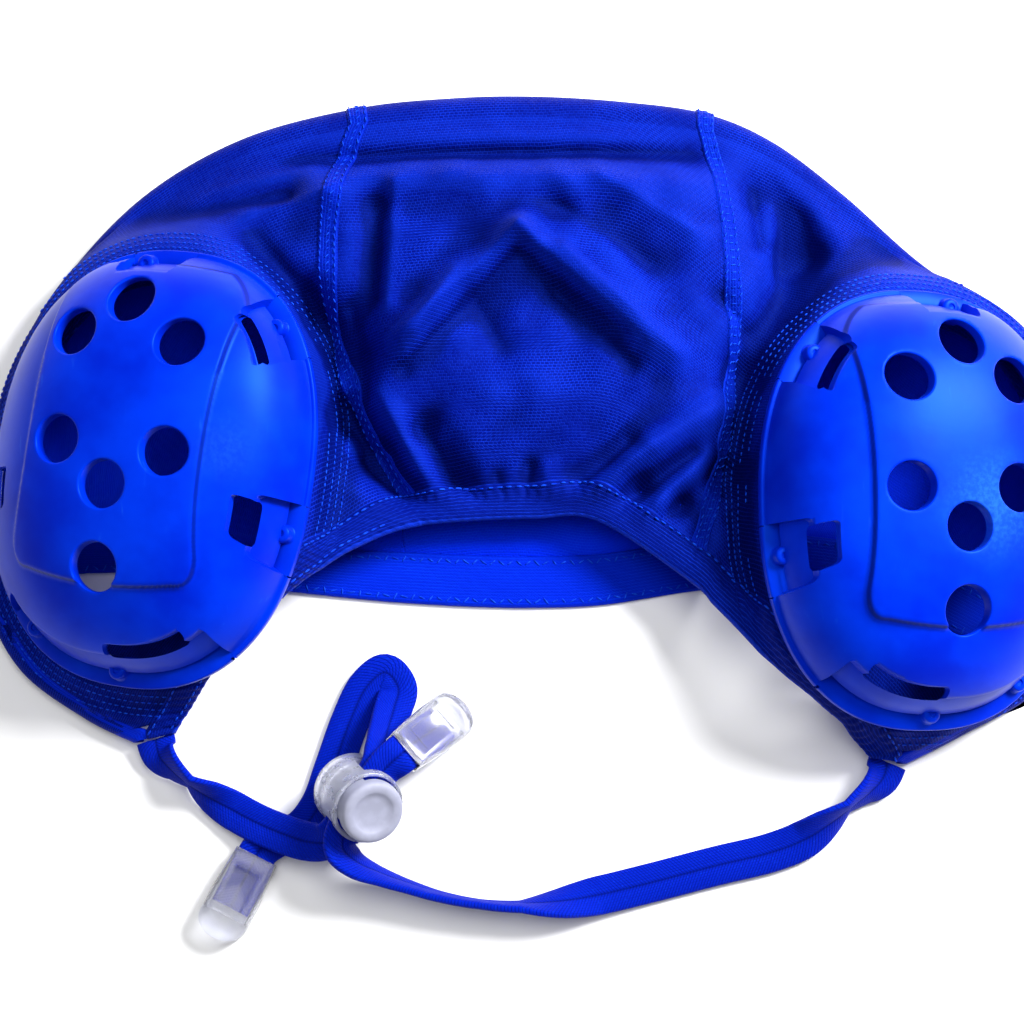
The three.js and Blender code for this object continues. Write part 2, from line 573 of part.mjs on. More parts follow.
// The lock stands on its axis, with the way through it along X.
const LOCK_FRAME = {
  middle: LOCK_BASE,
  turn: new THREE.Quaternion().setFromRotationMatrix(new THREE.Matrix4().makeBasis(
    LOCK_WAY.clone().addScaledVector(LOCK_AXIS, -LOCK_WAY.dot(LOCK_AXIS)).normalize(),
    LOCK_AXIS.clone().cross(LOCK_WAY).normalize(),
    LOCK_AXIS)),
};
const CHANNEL_TALL = 2 * TAPE_THICK + 3 * TAPE_CLEARANCE;
const CHANNEL_WIDE = TAPE_WIDTH + 2 * TAPE_CLEARANCE;
const LOCK_SIDES = 28;
function turned(profile) {
  return new THREE.LatheGeometry(profile.map(([r, h]) => new THREE.Vector2(r, h)), LOCK_SIDES)
    .rotateX(Math.PI / 2);
}
function channel(low, high) {
  const block = new THREE.BoxGeometry(2 * LOCK_DIAMETER, CHANNEL_WIDE, high - low);
  return toSolid(block.translate(0, 0, (low + high) / 2));
}
function lockBody() {
  const r = LOCK_DIAMETER / 2;
  const bore = BUTTON_DIAMETER / 2 + GAP;
  const shell = toSolid(turned([
    [0, 0], [r - 0.9, 0], [r, 0.9], [r, LOCK_LENGTH - 0.6], [r - 0.4, LOCK_LENGTH],
    [bore, LOCK_LENGTH], [bore, LOCK_FLOOR], [0, LOCK_FLOOR],
  ]));
  const cut = channel(CHANNEL_HEIGHT - CHANNEL_TALL / 2, CHANNEL_HEIGHT + CHANNEL_TALL / 2);
  return placed(toGeometry(shell.subtract(cut)), LOCK_FRAME);
}
function lockButton() {
  const r = BUTTON_DIAMETER / 2;
  const top = LOCK_LENGTH + BUTTON_PROUD;
  const low = LOCK_FLOOR + BUTTON_TRAVEL + GAP;
  const plunger = toSolid(turned([
    [0, low], [r, low], [r, top - 1.1], [r - 0.5, top - 0.3], [r - 1.4, top], [r - 2.4, top],
    [r - 3.2, top - 0.6], [0, top - 0.8],
  ]));
  const tapesTop = CHANNEL_HEIGHT + CHANNEL_TALL / 2;
  const cut = channel(CHANNEL_HEIGHT - CHANNEL_TALL / 2, tapesTop + BUTTON_TRAVEL);
  return placed(toGeometry(plunger.subtract(cut)), LOCK_FRAME);
}

// A flat end piece with a rounded tip, a pocket for the tape and a window over it.
function tapeEnd(row) {
  const mouth = new THREE.Vector3(row.mouthX, row.mouthY, row.mouthZ);
  const along = new THREE.Vector3(row.tipX, row.tipY, row.tipZ).sub(mouth).normalize();
  const across = new THREE.Vector3(0, 0, 1).cross(along).normalize();
  const face = along.clone().cross(across);
  const frame = {
    middle: mouth,
    turn: new THREE.Quaternion().setFromRotationMatrix(new THREE.Matrix4().makeBasis(along, across, face)),
  };
  const w = END_WIDTH / 2;
  const tipRadius = w * 0.8;
  const bevel = 1;
  const shape = new THREE.Shape();
  shape.moveTo(bevel, bevel - w * 0.86);
  shape.lineTo(END_LENGTH * 0.5, bevel - w);
  shape.lineTo(END_LENGTH - tipRadius, bevel - w * 0.98);
  shape.quadraticCurveTo(END_LENGTH - bevel, bevel - w * 0.9, END_LENGTH - bevel, 0);
  shape.quadraticCurveTo(END_LENGTH - bevel, w * 0.9 - bevel, END_LENGTH - tipRadius, w * 0.98 - bevel);
  shape.lineTo(END_LENGTH * 0.5, w - bevel);
  shape.lineTo(bevel, w * 0.86 - bevel);
  const depth = END_THICK - 2 * bevel;
  const block = new THREE.ExtrudeGeometry(shape, {
    depth, bevelThickness: bevel, bevelSize: bevel, bevelSegments: 2, curveSegments: 4,
  }).translate(0, 0, -depth / 2);
  const pocket = new THREE.BoxGeometry(END_POCKET, TAPE_WIDTH + 2 * GAP, TAPE_THICK + 2 * GAP)
    .translate(END_POCKET / 2 - 1, 0, 0);
  const window = new THREE.BoxGeometry(END_WINDOW_LENGTH, END_WINDOW_WIDTH, END_THICK)
    .translate(END_POCKET - 3 - END_WINDOW_LENGTH / 2, 0, END_THICK / 2);
  const solid = toSolid(block).subtract(toSolid(pocket)).subtract(toSolid(window));
  return placed(toGeometry(solid), frame);
}

const cap = new THREE.Group();
function add(name, geometry, color, roughness) {
  const material = new THREE.MeshStandardMaterial({ color, roughness, metalness: 0 });
  const mesh = new THREE.Mesh(geometry, material);
  mesh.name = name;
  cap.add(mesh);
}

const lastRow = SECTIONS.length - 1;
const panelSpan = (s) => {
  const hems = hemWidths(s);
  return [hems.front + HEM_GAP, s.total - hems.back - HEM_GAP];
};
// The row where the two hems leave room for a panel between them.
function panelEnd(from, to) {
  let near = from;
  let far = to;
  for (let i = 0; i < 30; i += 1) {
    const middle = (near + far) / 2;
    const s = section(middle);
    if (s.total < FRONT_HEM_WIDTH + BACK_HEM_WIDTH + 3 * HEM_GAP) near = middle;
    else far = middle;
  }
  return far;
}
const PANEL_COLUMNS = FRONT_COLUMNS + ROUND_COLUMNS + BACK_COLUMNS;
const centreRows = Array.from({ length: CENTRE_STEPS + 1 }, (_, i) =>
  mix(SEAM_LEFT_ROW, SEAM_RIGHT_ROW, i / CENTRE_STEPS));
const sideRows = (tip, seam) => SIDE_ROWS.map((share) => mix(tip, seam, share));
const leftRows = sideRows(panelEnd(0, TIP_ROWS), SEAM_LEFT_ROW);
const rightRows = sideRows(panelEnd(lastRow, lastRow - TIP_ROWS), SEAM_RIGHT_ROW).reverse();
const hemRows = [0, leftRows[0] / 2, ...leftRows, ...centreRows.slice(1), ...rightRows.slice(1),
  (rightRows[rightRows.length - 1] + lastRow) / 2, lastRow];
const panel = (rows) => clothPiece(rows, PANEL_COLUMNS, CLOTH_WALL, panelSpan);
const sidePanel = (rows, frame) => toGeometry(toSolid(panel(rows)).subtract(earOpening(frame)));

add("centre_panel", panel(centreRows), CLOTH_BLUE, 0.6);
add("side_panel_left", sidePanel(leftRows, GUARD_FRAMES[0]), CLOTH_BLUE, 0.6);
add("side_panel_right", sidePanel(rightRows, GUARD_FRAMES[1]), CLOTH_BLUE, 0.6);
add("front_hem", clothPiece(hemRows, 2, HEM_WALL, (s) => [0, hemWidths(s).front]), CLOTH_BLUE, 0.6);
add("back_hem", clothPiece(hemRows, 3, HEM_WALL, (s) => [s.total - hemWidths(s).back, s.total]),
  CLOTH_BLUE, 0.6);
GUARDS.forEach((guard, i) => add(guard.name, guardGeometry(guard, GUARD_FRAMES[i]), GUARD_BLUE, 0.3));
add("tape_left", tapeGeometry(TAPE_LEFT_ROUTE), CLOTH_BLUE, 0.7);
add("tape_right", tapeGeometry(TAPE_RIGHT_ROUTE), CLOTH_BLUE, 0.7);
add("lock_body", lockBody(), CLEAR_WHITE, 0.35);
add("lock_button", lockButton(), CLEAR_WHITE, 0.35);
TAPE_ENDS.forEach((row) => add(row.name, tapeEnd(row), CLEAR_WHITE, 0.35));

export default cap;
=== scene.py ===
"""A water polo cap lying flat, front panel up. The shape is written in millimetres and made in metres."""
import math

import bpy
import numpy as np
from mathutils import Matrix, Quaternion, Vector
from mathutils.bvhtree import BVHTree


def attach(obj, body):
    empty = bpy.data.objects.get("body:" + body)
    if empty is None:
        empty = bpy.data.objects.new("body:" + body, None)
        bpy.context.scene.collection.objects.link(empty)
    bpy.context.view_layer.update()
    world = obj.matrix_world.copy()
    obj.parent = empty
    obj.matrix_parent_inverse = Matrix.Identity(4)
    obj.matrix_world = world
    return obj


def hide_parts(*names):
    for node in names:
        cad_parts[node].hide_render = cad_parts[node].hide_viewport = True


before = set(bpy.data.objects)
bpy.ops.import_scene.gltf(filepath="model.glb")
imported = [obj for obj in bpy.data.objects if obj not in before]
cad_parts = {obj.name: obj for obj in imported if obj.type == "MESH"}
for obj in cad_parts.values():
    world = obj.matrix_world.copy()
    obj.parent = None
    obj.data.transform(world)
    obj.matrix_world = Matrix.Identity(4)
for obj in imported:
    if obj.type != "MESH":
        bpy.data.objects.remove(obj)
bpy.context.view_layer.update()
MM = 0.001

# Camera: the photograph's angle, and where its middle falls on the floor.
CAMERA_ELEVATION = 80
CAMERA_DISTANCE = 620
CAMERA_TARGET = (-5.75, -21.25, 0)
CAMERA_SENSOR = 36
PIXEL_MM = 0.25
IMAGE_PIXELS = 1024

# Sizes that the CAD has too.
HALF_WIDTH = 275 / 2
HALF_LENGTH = 171 / 2
CLOTH_RISE = 20
SEAM_BOW = 15
FOLD_DEPTH = 7
FOLD_REACH = 9
FRONT_HEM = 9
BACK_HEM = 13
GAP = 0.3
GUARD_WIDTH = 82
GUARD_LENGTH = 106
GUARD_HEIGHT = 27
GUARD_FLANGE = 2.6
SQUARENESS = 2.35
GUARD_TILT = 17
GUARD_PITCH = 4
GUARD_CENTRE_Z = 19.2
DOME_SHARE = 0.985
PLATE_RISE = 1.3
HOLE_RADIUS = 5.75
NOTCH_DEPTH = 7
PEG_RADIUS = 2.2
PEG_HEIGHT = 3.4
EAR_SHARE = 0.86
EAR_SHARE_AT_FOOT = 0.7
TAPE_WIDTH = 9.5
TAPE_THICK = 2.3
LOCK_RADIUS = 9
LOCK_LENGTH = 14.5
LOCK_FLOOR = 1.2
BUTTON_RADIUS = 7.7
BUTTON_PROUD = 3.6
BUTTON_TRAVEL = 3
CHANNEL_HEIGHT = 9
TAPE_CLEARANCE = 0.6
END_LENGTH = 22
END_WIDTH = 12
END_THICK = 6
SEAM_ROWS = (10, 14)

# Sizes that only the look has.
CREASE_POWER = 1.35
CREASE_SCALE = 1.7
RIPPLE_SEED = 11
RIPPLE_WAVES = [(34, 0.5), (27, 0.45), (21, 0.35), (17, 0.3), (13, 0.2), (11, 0.16), (9, 0.12), (7, 0.09)]
BAND_INNER, BAND_OUTER, BAND_RISE = 0.4, 7.2, 0.55
LOWEST_FRONT = 2.4
TIP_ROOM = 0.6
PANEL_ROOM = 2.6
HEM_LAP = 1.6
HEM_WALL = 1.7
FRONT_HEM_PROUD = 0.35
FRONT_HEM_GATHER = 0.16
PANEL_WALL = 0.9
FLOOR_GAP = 0.03
FRONT_STEPS, ROUND_STEPS, BACK_STEPS = 112, 14, 20
GUARD_WALL = 2.0
PLATE_HALF, PLATE_TOP, PLATE_BOTTOM = 23.5, 48.0, -28.0
RINGS = 96
INNER_RINGS = 40
FILLET = 0.5
PEG_SIDES = 28
GUARD_SHARP = 52
END_POCKET = 16
END_WINDOW_START, END_WINDOW_STOP, END_WINDOW_HALF, END_WINDOW_DEPTH = 4, 14, 3.2, 0.7
# Painted shade and highlight on the knit's folds: darker base colour in the hollows, lighter on the ridges;
# reach in grid cells and strength.
RELIEF_SMALL, RELIEF_LARGE = (5, 0.34), (14, 0.025)
# Stitches: spacing along a line, then length and width. Lines stand beside the seams and round the rims.
HEM_STEP, BACK_STEP, SEAM_STEP, EAR_STEP = 2.3, 2.2, 1.9, 1.6
HEM_STITCH, BACK_STITCH, SEAM_STITCH, EAR_STITCH = (1.7, 0.5), (1.9, 0.36), (1.35, 0.34), (1.15, 0.38)
SEAM_LINES = (-1.9, 1.9)
EAR_LINES = (1.6, 3.1, 4.6, 6.1)
FLOOR_HALF = 900
WORLD_STRENGTH = 0.18

# Colours, and the light that the cloth and the guards give back.
CLOTH_SHEEN = (0.08, 0.3, 1, 1)
GUARD_SHEEN = (0.04, 0.38, 1, 1)
TAPE_BLUE, TAPE_DARK, TAPE_LIGHT = (0.0008, 0.010, 0.38), (0.0004, 0.002, 0.09), (0.003, 0.05, 0.70)
GUARD_DARK, GUARD_BLUE = (0.0, 0.010, 0.44), (0.0, 0.026, 0.62)
GUARD_HAZE_AND_HIGHLIGHT, GUARD_CREASE_SHADE = (0.03, 0.22, 0.85), (0.0, 0.003, 0.13)
# Painted highlights on the guards, paler and rougher spots: where, how far they reach and how strong they
# are.
HIGHLIGHT_SPOTS = [((106, -27, 44), 17, 1.0), ((-74, -14, 42), 12, 0.7)]
# Lights: place, size and watts.
LIGHTS = [("key", (540, 330, 570), 330, 18), ("fill", (-500, -300, 600), 600, 0.6),
          ("top", (0, 160, 900), 700, 4.5)]

# The cloth's sections: hem, fold and back hem in plan, bow, heights and the fold's radius.
SECTIONS = np.array([
    (-0.640, -0.900, -0.716, -0.925, -0.700, -0.905, 0.0, 0.26, 0.26, 0.120),
    (-0.590, -0.790, -0.805, -0.855, -0.788, -0.830, 0.0, 0.36, 0.34, 0.120),
    (-0.530, -0.680, -0.920, -0.720, -0.895, -0.700, 0.0, 0.56, 0.40, 0.120),
    (-0.465, -0.580, -0.985, -0.530, -0.940, -0.545, 0.0, 0.80, 0.50, 0.120),
    (-0.400, -0.480, -1.000, -0.300, -0.880, -0.450, 0.0, 0.90, 0.60, 0.115),
    (-0.340, -0.405, -0.990, -0.060, -0.760, -0.430, 0.0, 0.86, 0.65, 0.110),
    (-0.290, -0.360, -0.955, 0.190, -0.620, -0.450, -0.1, 0.76, 0.65, 0.110),
    (-0.255, -0.335, -0.860, 0.455, -0.500, -0.475, -0.3, 0.70, 0.65, 0.120),
    (-0.225, -0.320, -0.720, 0.700, -0.390, -0.495, -0.6, 0.66, 0.68, 0.160),
    (-0.205, -0.312, -0.540, 0.870, -0.300, -0.510, -0.9, 0.62, 0.72, 0.220),
    (-0.190, -0.308, -0.330, 0.960, -0.225, -0.520, -1.0, 0.60, 0.78, 0.270),
    (-0.100, -0.297, -0.150, 0.990, -0.110, -0.530, -0.4, 0.60, 1.00, 0.290),
    (0.000, -0.292, 0.000, 0.995, 0.000, -0.533, 0.0, 0.60, 1.05, 0.290),
    (0.110, -0.300, 0.160, 0.980, 0.120, -0.525, 0.3, 0.64, 1.00, 0.280),
    (0.270, -0.480, 0.315, 0.945, 0.260, -0.490, 0.6, 0.80, 0.80, 0.260),
    (0.310, -0.550, 0.440, 0.860, 0.340, -0.475, 0.55, 0.90, 0.75, 0.220),
    (0.350, -0.620, 0.570, 0.700, 0.430, -0.465, 0.5, 0.98, 0.70, 0.180),
    (0.390, -0.690, 0.720, 0.480, 0.560, -0.490, 0.4, 0.98, 0.66, 0.140),
    (0.430, -0.750, 0.900, 0.290, 0.690, -0.560, 0.2, 0.84, 0.65, 0.115),
    (0.470, -0.800, 0.985, 0.040, 0.800, -0.650, 0.0, 0.66, 0.65, 0.110),
    (0.505, -0.845, 1.000, -0.230, 0.880, -0.725, 0.0, 0.52, 0.60, 0.115),
    (0.535, -0.880, 0.985, -0.540, 0.905, -0.785, 0.0, 0.42, 0.50, 0.120),
    (0.555, -0.915, 0.900, -0.770, 0.850, -0.835, 0.0, 0.34, 0.42, 0.120),
    (0.575, -0.945, 0.760, -0.905, 0.735, -0.885, 0.0, 0.30, 0.34, 0.120),
    (0.590, -0.970, 0.660, -0.985, 0.644, -0.968, 0.0, 0.26, 0.26, 0.120),
])
LAST = len(SECTIONS) - 1

# Folds of the front layer: two ends in shares of the half sizes, rise and reach.
FOLDS = [
    (-0.43, 0.81, 0.28, 0.80, -0.55, 0.45), (-0.40, 0.70, 0.30, 0.70, 0.30, 0.60),
    (-0.03, 0.51, -0.24, 0.20, 0.75, 0.70), (-0.03, 0.51, 0.20, 0.19, 0.70, 0.70),
    (0.05, 0.66, 0.19, 0.34, 0.40, 0.50), (-0.50, 0.45, -0.38, 0.26, -0.90, 0.60),
    (-0.38, 0.26, -0.355, 0.02, -1.00, 0.60), (-0.355, 0.02, -0.20, -0.27, -0.90, 0.60),
    (-0.19, -0.05, -0.09, -0.28, -0.55, 0.50), (0.43, 0.78, 0.49, 0.51, -0.90, 0.60),
    (0.49, 0.51, 0.38, 0.14, -1.00, 0.65), (0.38, 0.14, 0.345, -0.16, -0.90, 0.60),
    (0.345, -0.16, 0.39, -0.50, -0.60, 0.50), (0.33, 0.02, 0.06, -0.24, 0.55, 0.45),
    (0.34, -0.10, 0.20, -0.30, 0.45, 0.40),
]
# Smaller creases, in the same columns, that the CAD leaves to the look.
CREASES = [
    (-0.342, 0.041, -0.292, -0.107, -0.45, 0.42), (-0.292, -0.107, -0.238, -0.230, -0.5, 0.38),
    (-0.238, -0.230, -0.199, -0.297, -0.4, 0.3), (-0.198, -0.033, -0.144, -0.180, -0.32, 0.4),
    (-0.144, -0.180, -0.086, -0.273, -0.4, 0.3), (-0.010, -0.145, -0.022, -0.273, -0.26, 0.26),
    (-0.069, -0.174, -0.051, -0.273, -0.22, 0.24), (0.166, -0.077, 0.080, -0.195, -0.38, 0.4),
    (0.080, -0.195, 0.047, -0.273, -0.36, 0.28), (0.286, -0.110, 0.187, -0.209, -0.42, 0.4),
    (0.187, -0.209, 0.136, -0.279, -0.38, 0.28), (0.334, -0.127, 0.261, -0.247, -0.42, 0.4),
    (0.261, -0.247, 0.207, -0.314, -0.36, 0.28), (0.302, -0.282, 0.274, -0.418, -0.3, 0.34),
    (0.361, -0.297, 0.377, -0.499, -0.5, 0.42), (0.331, -0.413, 0.353, -0.557, -0.3, 0.3),
    (-0.47, 0.80, 0.33, 0.81, -0.8, 0.26), (-0.45, 0.89, 0.40, 0.88, 0.35, 0.42),
    (-0.03, 0.52, -0.24, 0.21, 0.15, 0.24), (-0.035, 0.455, -0.235, 0.13, -0.2, 0.26),
    (-0.03, 0.52, 0.20, 0.20, 0.15, 0.24), (-0.025, 0.455, 0.17, 0.14, -0.2, 0.26),
    (-0.174, -0.063, -0.124, -0.238, 0.22, 0.45), (0.101, -0.244, 0.196, -0.098, 0.3, 0.5),
    (0.213, -0.253, 0.304, -0.116, 0.28, 0.42), (-0.283, 0.070, -0.185, -0.215, 0.28, 0.5),
    (0.017, -0.165, 0.030, -0.253, 0.2, 0.4), (0.054, 0.459, 0.246, 0.168, 0.45, 0.5),
    (0.045, 0.353, 0.189, 0.204, -0.35, 0.6), (-0.145, 0.398, -0.211, 0.219, 0.35, 0.45),
    (-0.118, 0.353, -0.063, 0.204, -0.25, 0.6), (-0.282, 0.625, -0.295, 0.353, -0.45, 0.5),
    (-0.255, 0.686, -0.266, 0.323, 0.3, 0.45), (-0.331, 0.323, -0.306, 0.085, -0.4, 0.45),
    (-0.361, 0.263, -0.332, -0.063, 0.25, 0.35), (0.119, 0.686, 0.282, 0.534, 0.3, 0.5),
    (0.046, 0.610, 0.208, 0.443, -0.3, 0.5), (0.394, 0.808, 0.413, 0.534, -0.6, 0.5),
    (0.438, 0.732, 0.483, 0.610, -0.5, 0.45), (0.483, 0.625, 0.454, 0.468, -0.55, 0.45),
    (0.556, 0.655, 0.671, 0.428, 0.35, 0.5), (0.335, 0.353, 0.379, 0.263, -0.3, 0.4),
    (-0.648, 0.747, -0.430, 0.808, -0.25, 0.5), (-0.719, 0.610, -0.447, 0.671, -0.3, 0.45),
    (-0.611, 0.686, -0.411, 0.747, 0.2, 0.45), (-0.755, 0.549, -0.609, 0.558, 0.2, 0.4),
    (-0.519, 0.610, -0.374, 0.655, 0.25, 0.4), (-0.408, 0.383, -0.361, 0.174, -0.4, 0.4),
]

# Ear guards: side, middle of the rim in shares of the half sizes, and lean in degrees.
GUARDS = [("left", -1, -0.669, -0.164, 9.5), ("right", 1, 0.669, -0.281, -2)]
HOLES = [(0.07, 0.715), (-0.3, 0.54), (0.365, 0.54), (-0.34, 0.05), (0.33, 0.05), (0, -0.125), (0, -0.487)]
# Notches: angle and width along the rim, then the angle, width and depth of the opening behind.
NOTCHES = [(95, 17, 95, 0, 0), (50, 17, 50, 15, 1.7), (-18, 17, -18, 13, 4.8), (-92, 66, -76, 25, 2.6),
           (-162, 17, -162, 13, 4.8)]
# Pegs: angle, and how far each stands along the rim from it.
PEGS = [(95, 4), (50, 2), (-18, 0), (-90, 0), (-119, 0), (-162, 0)]

# The tapes' routes: place and roll in degrees.
TAPE_LEFT = [
    (-92.9, -78.4, 3.4, 0), (-91.8, -81.8, 3.8, 20), (-88.2, -85.4, 5.2, 60), (-84.0, -88.8, 5.6, 80),
    (-79.6, -91.8, 4.6, 45), (-73.6, -95.6, 2.9, 8), (-67.2, -99.0, 4.2, 0), (-60.2, -101.8, 6.2, 2),
    (-54.2, -103.4, 8.4, 12), (-50.4, -103.2, 9.7, 26), (-47.5, -100.6, 10.4, 34), (-42.7, -93.1, 11.8, 34),
    (-37.9, -85.6, 13.1, 34), (-37.2, -81.2, 11.2, 40), (-36.4, -76.6, 7.8, 34), (-34.8, -70.8, 4.4, 12),
    (-33.8, -65.6, 1.9, 0), (-37.0, -61.8, 1.5, 0), (-41.3, -65.0, 1.4, 0), (-45.4, -73.4, 1.4, 0),
    (-49.2, -84.4, 1.4, 0), (-52.8, -94.4, 1.4, 0), (-57.4, -100.2, 1.4, 0), (-63.0, -102.2, 1.7, 0),
    (-67.0, -105.2, 3.0, 0), (-68.6, -108.4, 3.15, 0), (-74.0, -119.1, 3.15, 0),
]
TAPE_RIGHT = [
    (85.9, -84.1, 3.4, 0), (84.4, -87.6, 3.8, -20), (80.6, -91.0, 5.2, -60), (75.6, -94.8, 5.6, -80),
    (70.6, -98.8, 4.6, -45), (64.8, -102.8, 2.7, -10), (57.0, -105.8, 1.6, 0), (44.0, -108.9, 1.4, 0),
    (28.0, -113.0, 1.4, 0), (15.6, -116.0, 2.2, 8), (5.9, -118.0, 4.5, 45), (-3.8, -118.8, 5.4, 80),
    (-13.5, -118.2, 5.4, 85), (-23.1, -116.4, 5.6, 82), (-31.4, -113.8, 6.4, 76), (-38.4, -111.2, 8.3, 66),
    (-43.6, -108.6, 10.8, 50), (-46.6, -105.4, 12.3, 38), (-46.3, -101.7, 12.8, 34), (-41.5, -94.2, 14.2, 34),
    (-36.4, -86.3, 15.6, 33), (-32.8, -83.3, 15.9, 8), (-31.1, -81.8, 14.4, 0), (-23.0, -74.9, 7.1, 0),
]
LOCK_BASE = Vector((-45.7, -90, 5.6))
LOCK_AXIS = Vector((0.402, -0.407, 0.82)).normalized()
LOCK_WAY = Vector((0.535, 0.832, 0.15))
# The clear ends: mouth and tip.
TAPE_ENDS = [("a", (-67.7, -106.6, 3.15), (-77.65, -126.2, 3.15)),
             ("b", (-31.8, -82.4, 15.0), (-18.0, -70.6, 2.6))]


# ---------------------------------------------------------------- camera, floor and lights
def look_at(item, place, target):
    item.location = Vector(place) * MM
    item.rotation_euler = (Vector(target) - Vector(place)).to_track_quat("-Z", "Y").to_euler()


def add_camera():
    data = bpy.data.cameras.new("camera")
    data.sensor_width = CAMERA_SENSOR
    data.lens = CAMERA_SENSOR * CAMERA_DISTANCE / PIXEL_MM / IMAGE_PIXELS
    camera = bpy.data.objects.new("camera", data)
    bpy.context.scene.collection.objects.link(camera)
    tilt = math.radians(CAMERA_ELEVATION)
    x, y, z = CAMERA_TARGET
    place = (x, y - CAMERA_DISTANCE * math.cos(tilt), z + CAMERA_DISTANCE * math.sin(tilt))
    look_at(camera, place, CAMERA_TARGET)
    bpy.context.scene.camera = camera


def add_light(name, place, size, watts):
    data = bpy.data.lights.new(name, "AREA")
    data.shape = "DISK"
    data.size = size * MM
    data.energy = watts
    light = bpy.data.objects.new(name, data)
    bpy.context.scene.collection.objects.link(light)
    look_at(light, place, (0, 0, 0))


# ---------------------------------------------------------------- shader graphs
class Number:
    """A shader value that arithmetic can be written with."""

    def __init__(self, graph, socket):
        self.graph = graph
        self.socket = socket

    def _math(self, operation, *values):
        return self.graph.math(operation, *values)

    def __add__(self, other):
        return self._math("ADD", self, other)

    def __radd__(self, other):
        return self._math("ADD", other, self)

    def __sub__(self, other):
        return self._math("SUBTRACT", self, other)

    def __rsub__(self, other):
        return self._math("SUBTRACT", other, self)

    def __mul__(self, other):
        return self._math("MULTIPLY", self, other)

    def __rmul__(self, other):
        return self._math("MULTIPLY", other, self)

    def __truediv__(self, other):
        return self._math("DIVIDE", self, other)

    def __abs__(self):
        return self._math("ABSOLUTE", self)

    def fract(self):
        return self._math("FRACT", self)

    def floor(self):
        return self._math("FLOOR", self)

    def clamp(self):
        return self._math("MINIMUM", self._math("MAXIMUM", self, 0), 1)

    def smooth(self, low, high):
        """0 below low, 1 above high, smoothly between."""
        node = self.graph.node("ShaderNodeMapRange", {"Value": self, "From Min": low, "From Max": high},
                               interpolation_type="SMOOTHSTEP")
        return Number(self.graph, node.outputs["Result"])


class Graph:
    """A material's node tree."""

    def __init__(self, name):
        self.material = bpy.data.materials.new(name)
        self.material.use_nodes = True
        self.tree = self.material.node_tree
        self.tree.nodes.clear()

    def node(self, kind, inputs=None, **settings):
        node = self.tree.nodes.new(kind)
        for key, value in settings.items():
            setattr(node, key, value)
        for key, value in (inputs or {}).items():
            self.feed(node.inputs[key], value)
        return node

    def feed(self, socket, value):
        if isinstance(value, Number):
            value = value.socket
        if isinstance(value, bpy.types.NodeSocket):
            self.tree.links.new(value, socket)
        else:
            socket.default_value = value

    def math(self, operation, *values):
        node = self.node("ShaderNodeMath", operation=operation)
        for socket, value in zip(node.inputs, values):
            self.feed(socket, value)
        return Number(self, node.outputs[0])

    def cloth_place(self):
        """Millimetres along and across the cloth."""
        vector = self.node("ShaderNodeUVMap", uv_map="cloth").outputs[0]
        split = self.node("ShaderNodeSeparateXYZ", {"Vector": vector})
        return Number(self, split.outputs[0]), Number(self, split.outputs[1])

    def place(self):
        """Object coordinates in millimetres."""
        vector = self.node("ShaderNodeTexCoord").outputs["Object"]
        scaled = self.node("ShaderNodeVectorMath", {0: vector}, operation="SCALE")
        scaled.inputs["Scale"].default_value = 1 / MM
        return scaled.outputs[0]

    def join(self, x, y):
        return self.node("ShaderNodeCombineXYZ", {"X": x, "Y": y}).outputs[0]

    def noise(self, vector, scale, detail=3.0, roughness=0.5):
        node = self.node("ShaderNodeTexNoise", {"Vector": vector, "Scale": scale, "Detail": detail,
                                                "Roughness": roughness})
        return Number(self, node.outputs["Fac"])

    def grain(self, vector):
        """One random value for each whole place."""
        node = self.node("ShaderNodeTexWhiteNoise", {"Vector": vector}, noise_dimensions="3D")
        return Number(self, node.outputs["Value"])

    def mix(self, share, first, second):
        node = self.node("ShaderNodeMix", data_type="RGBA")
        self.feed(node.inputs["Factor"], share)
        for socket, value in zip([s for s in node.inputs if s.type == "RGBA"], (first, second)):
            self.feed(socket, (*value, 1) if isinstance(value, tuple) else value)
        return [s for s in node.outputs if s.type == "RGBA"][0]

    def bump(self, height, distance, strength):
        inputs = {"Height": height, "Distance": distance * MM, "Strength": strength}
        return self.node("ShaderNodeBump", inputs).outputs[0]

    def finish(self, **inputs):
        names = {key.replace("_", " "): value for key, value in inputs.items()}
        shader = self.node("ShaderNodeBsdfPrincipled", names)
        output = self.node("ShaderNodeOutputMaterial")
        self.tree.links.new(shader.outputs[0], output.inputs["Surface"])
        return self.material


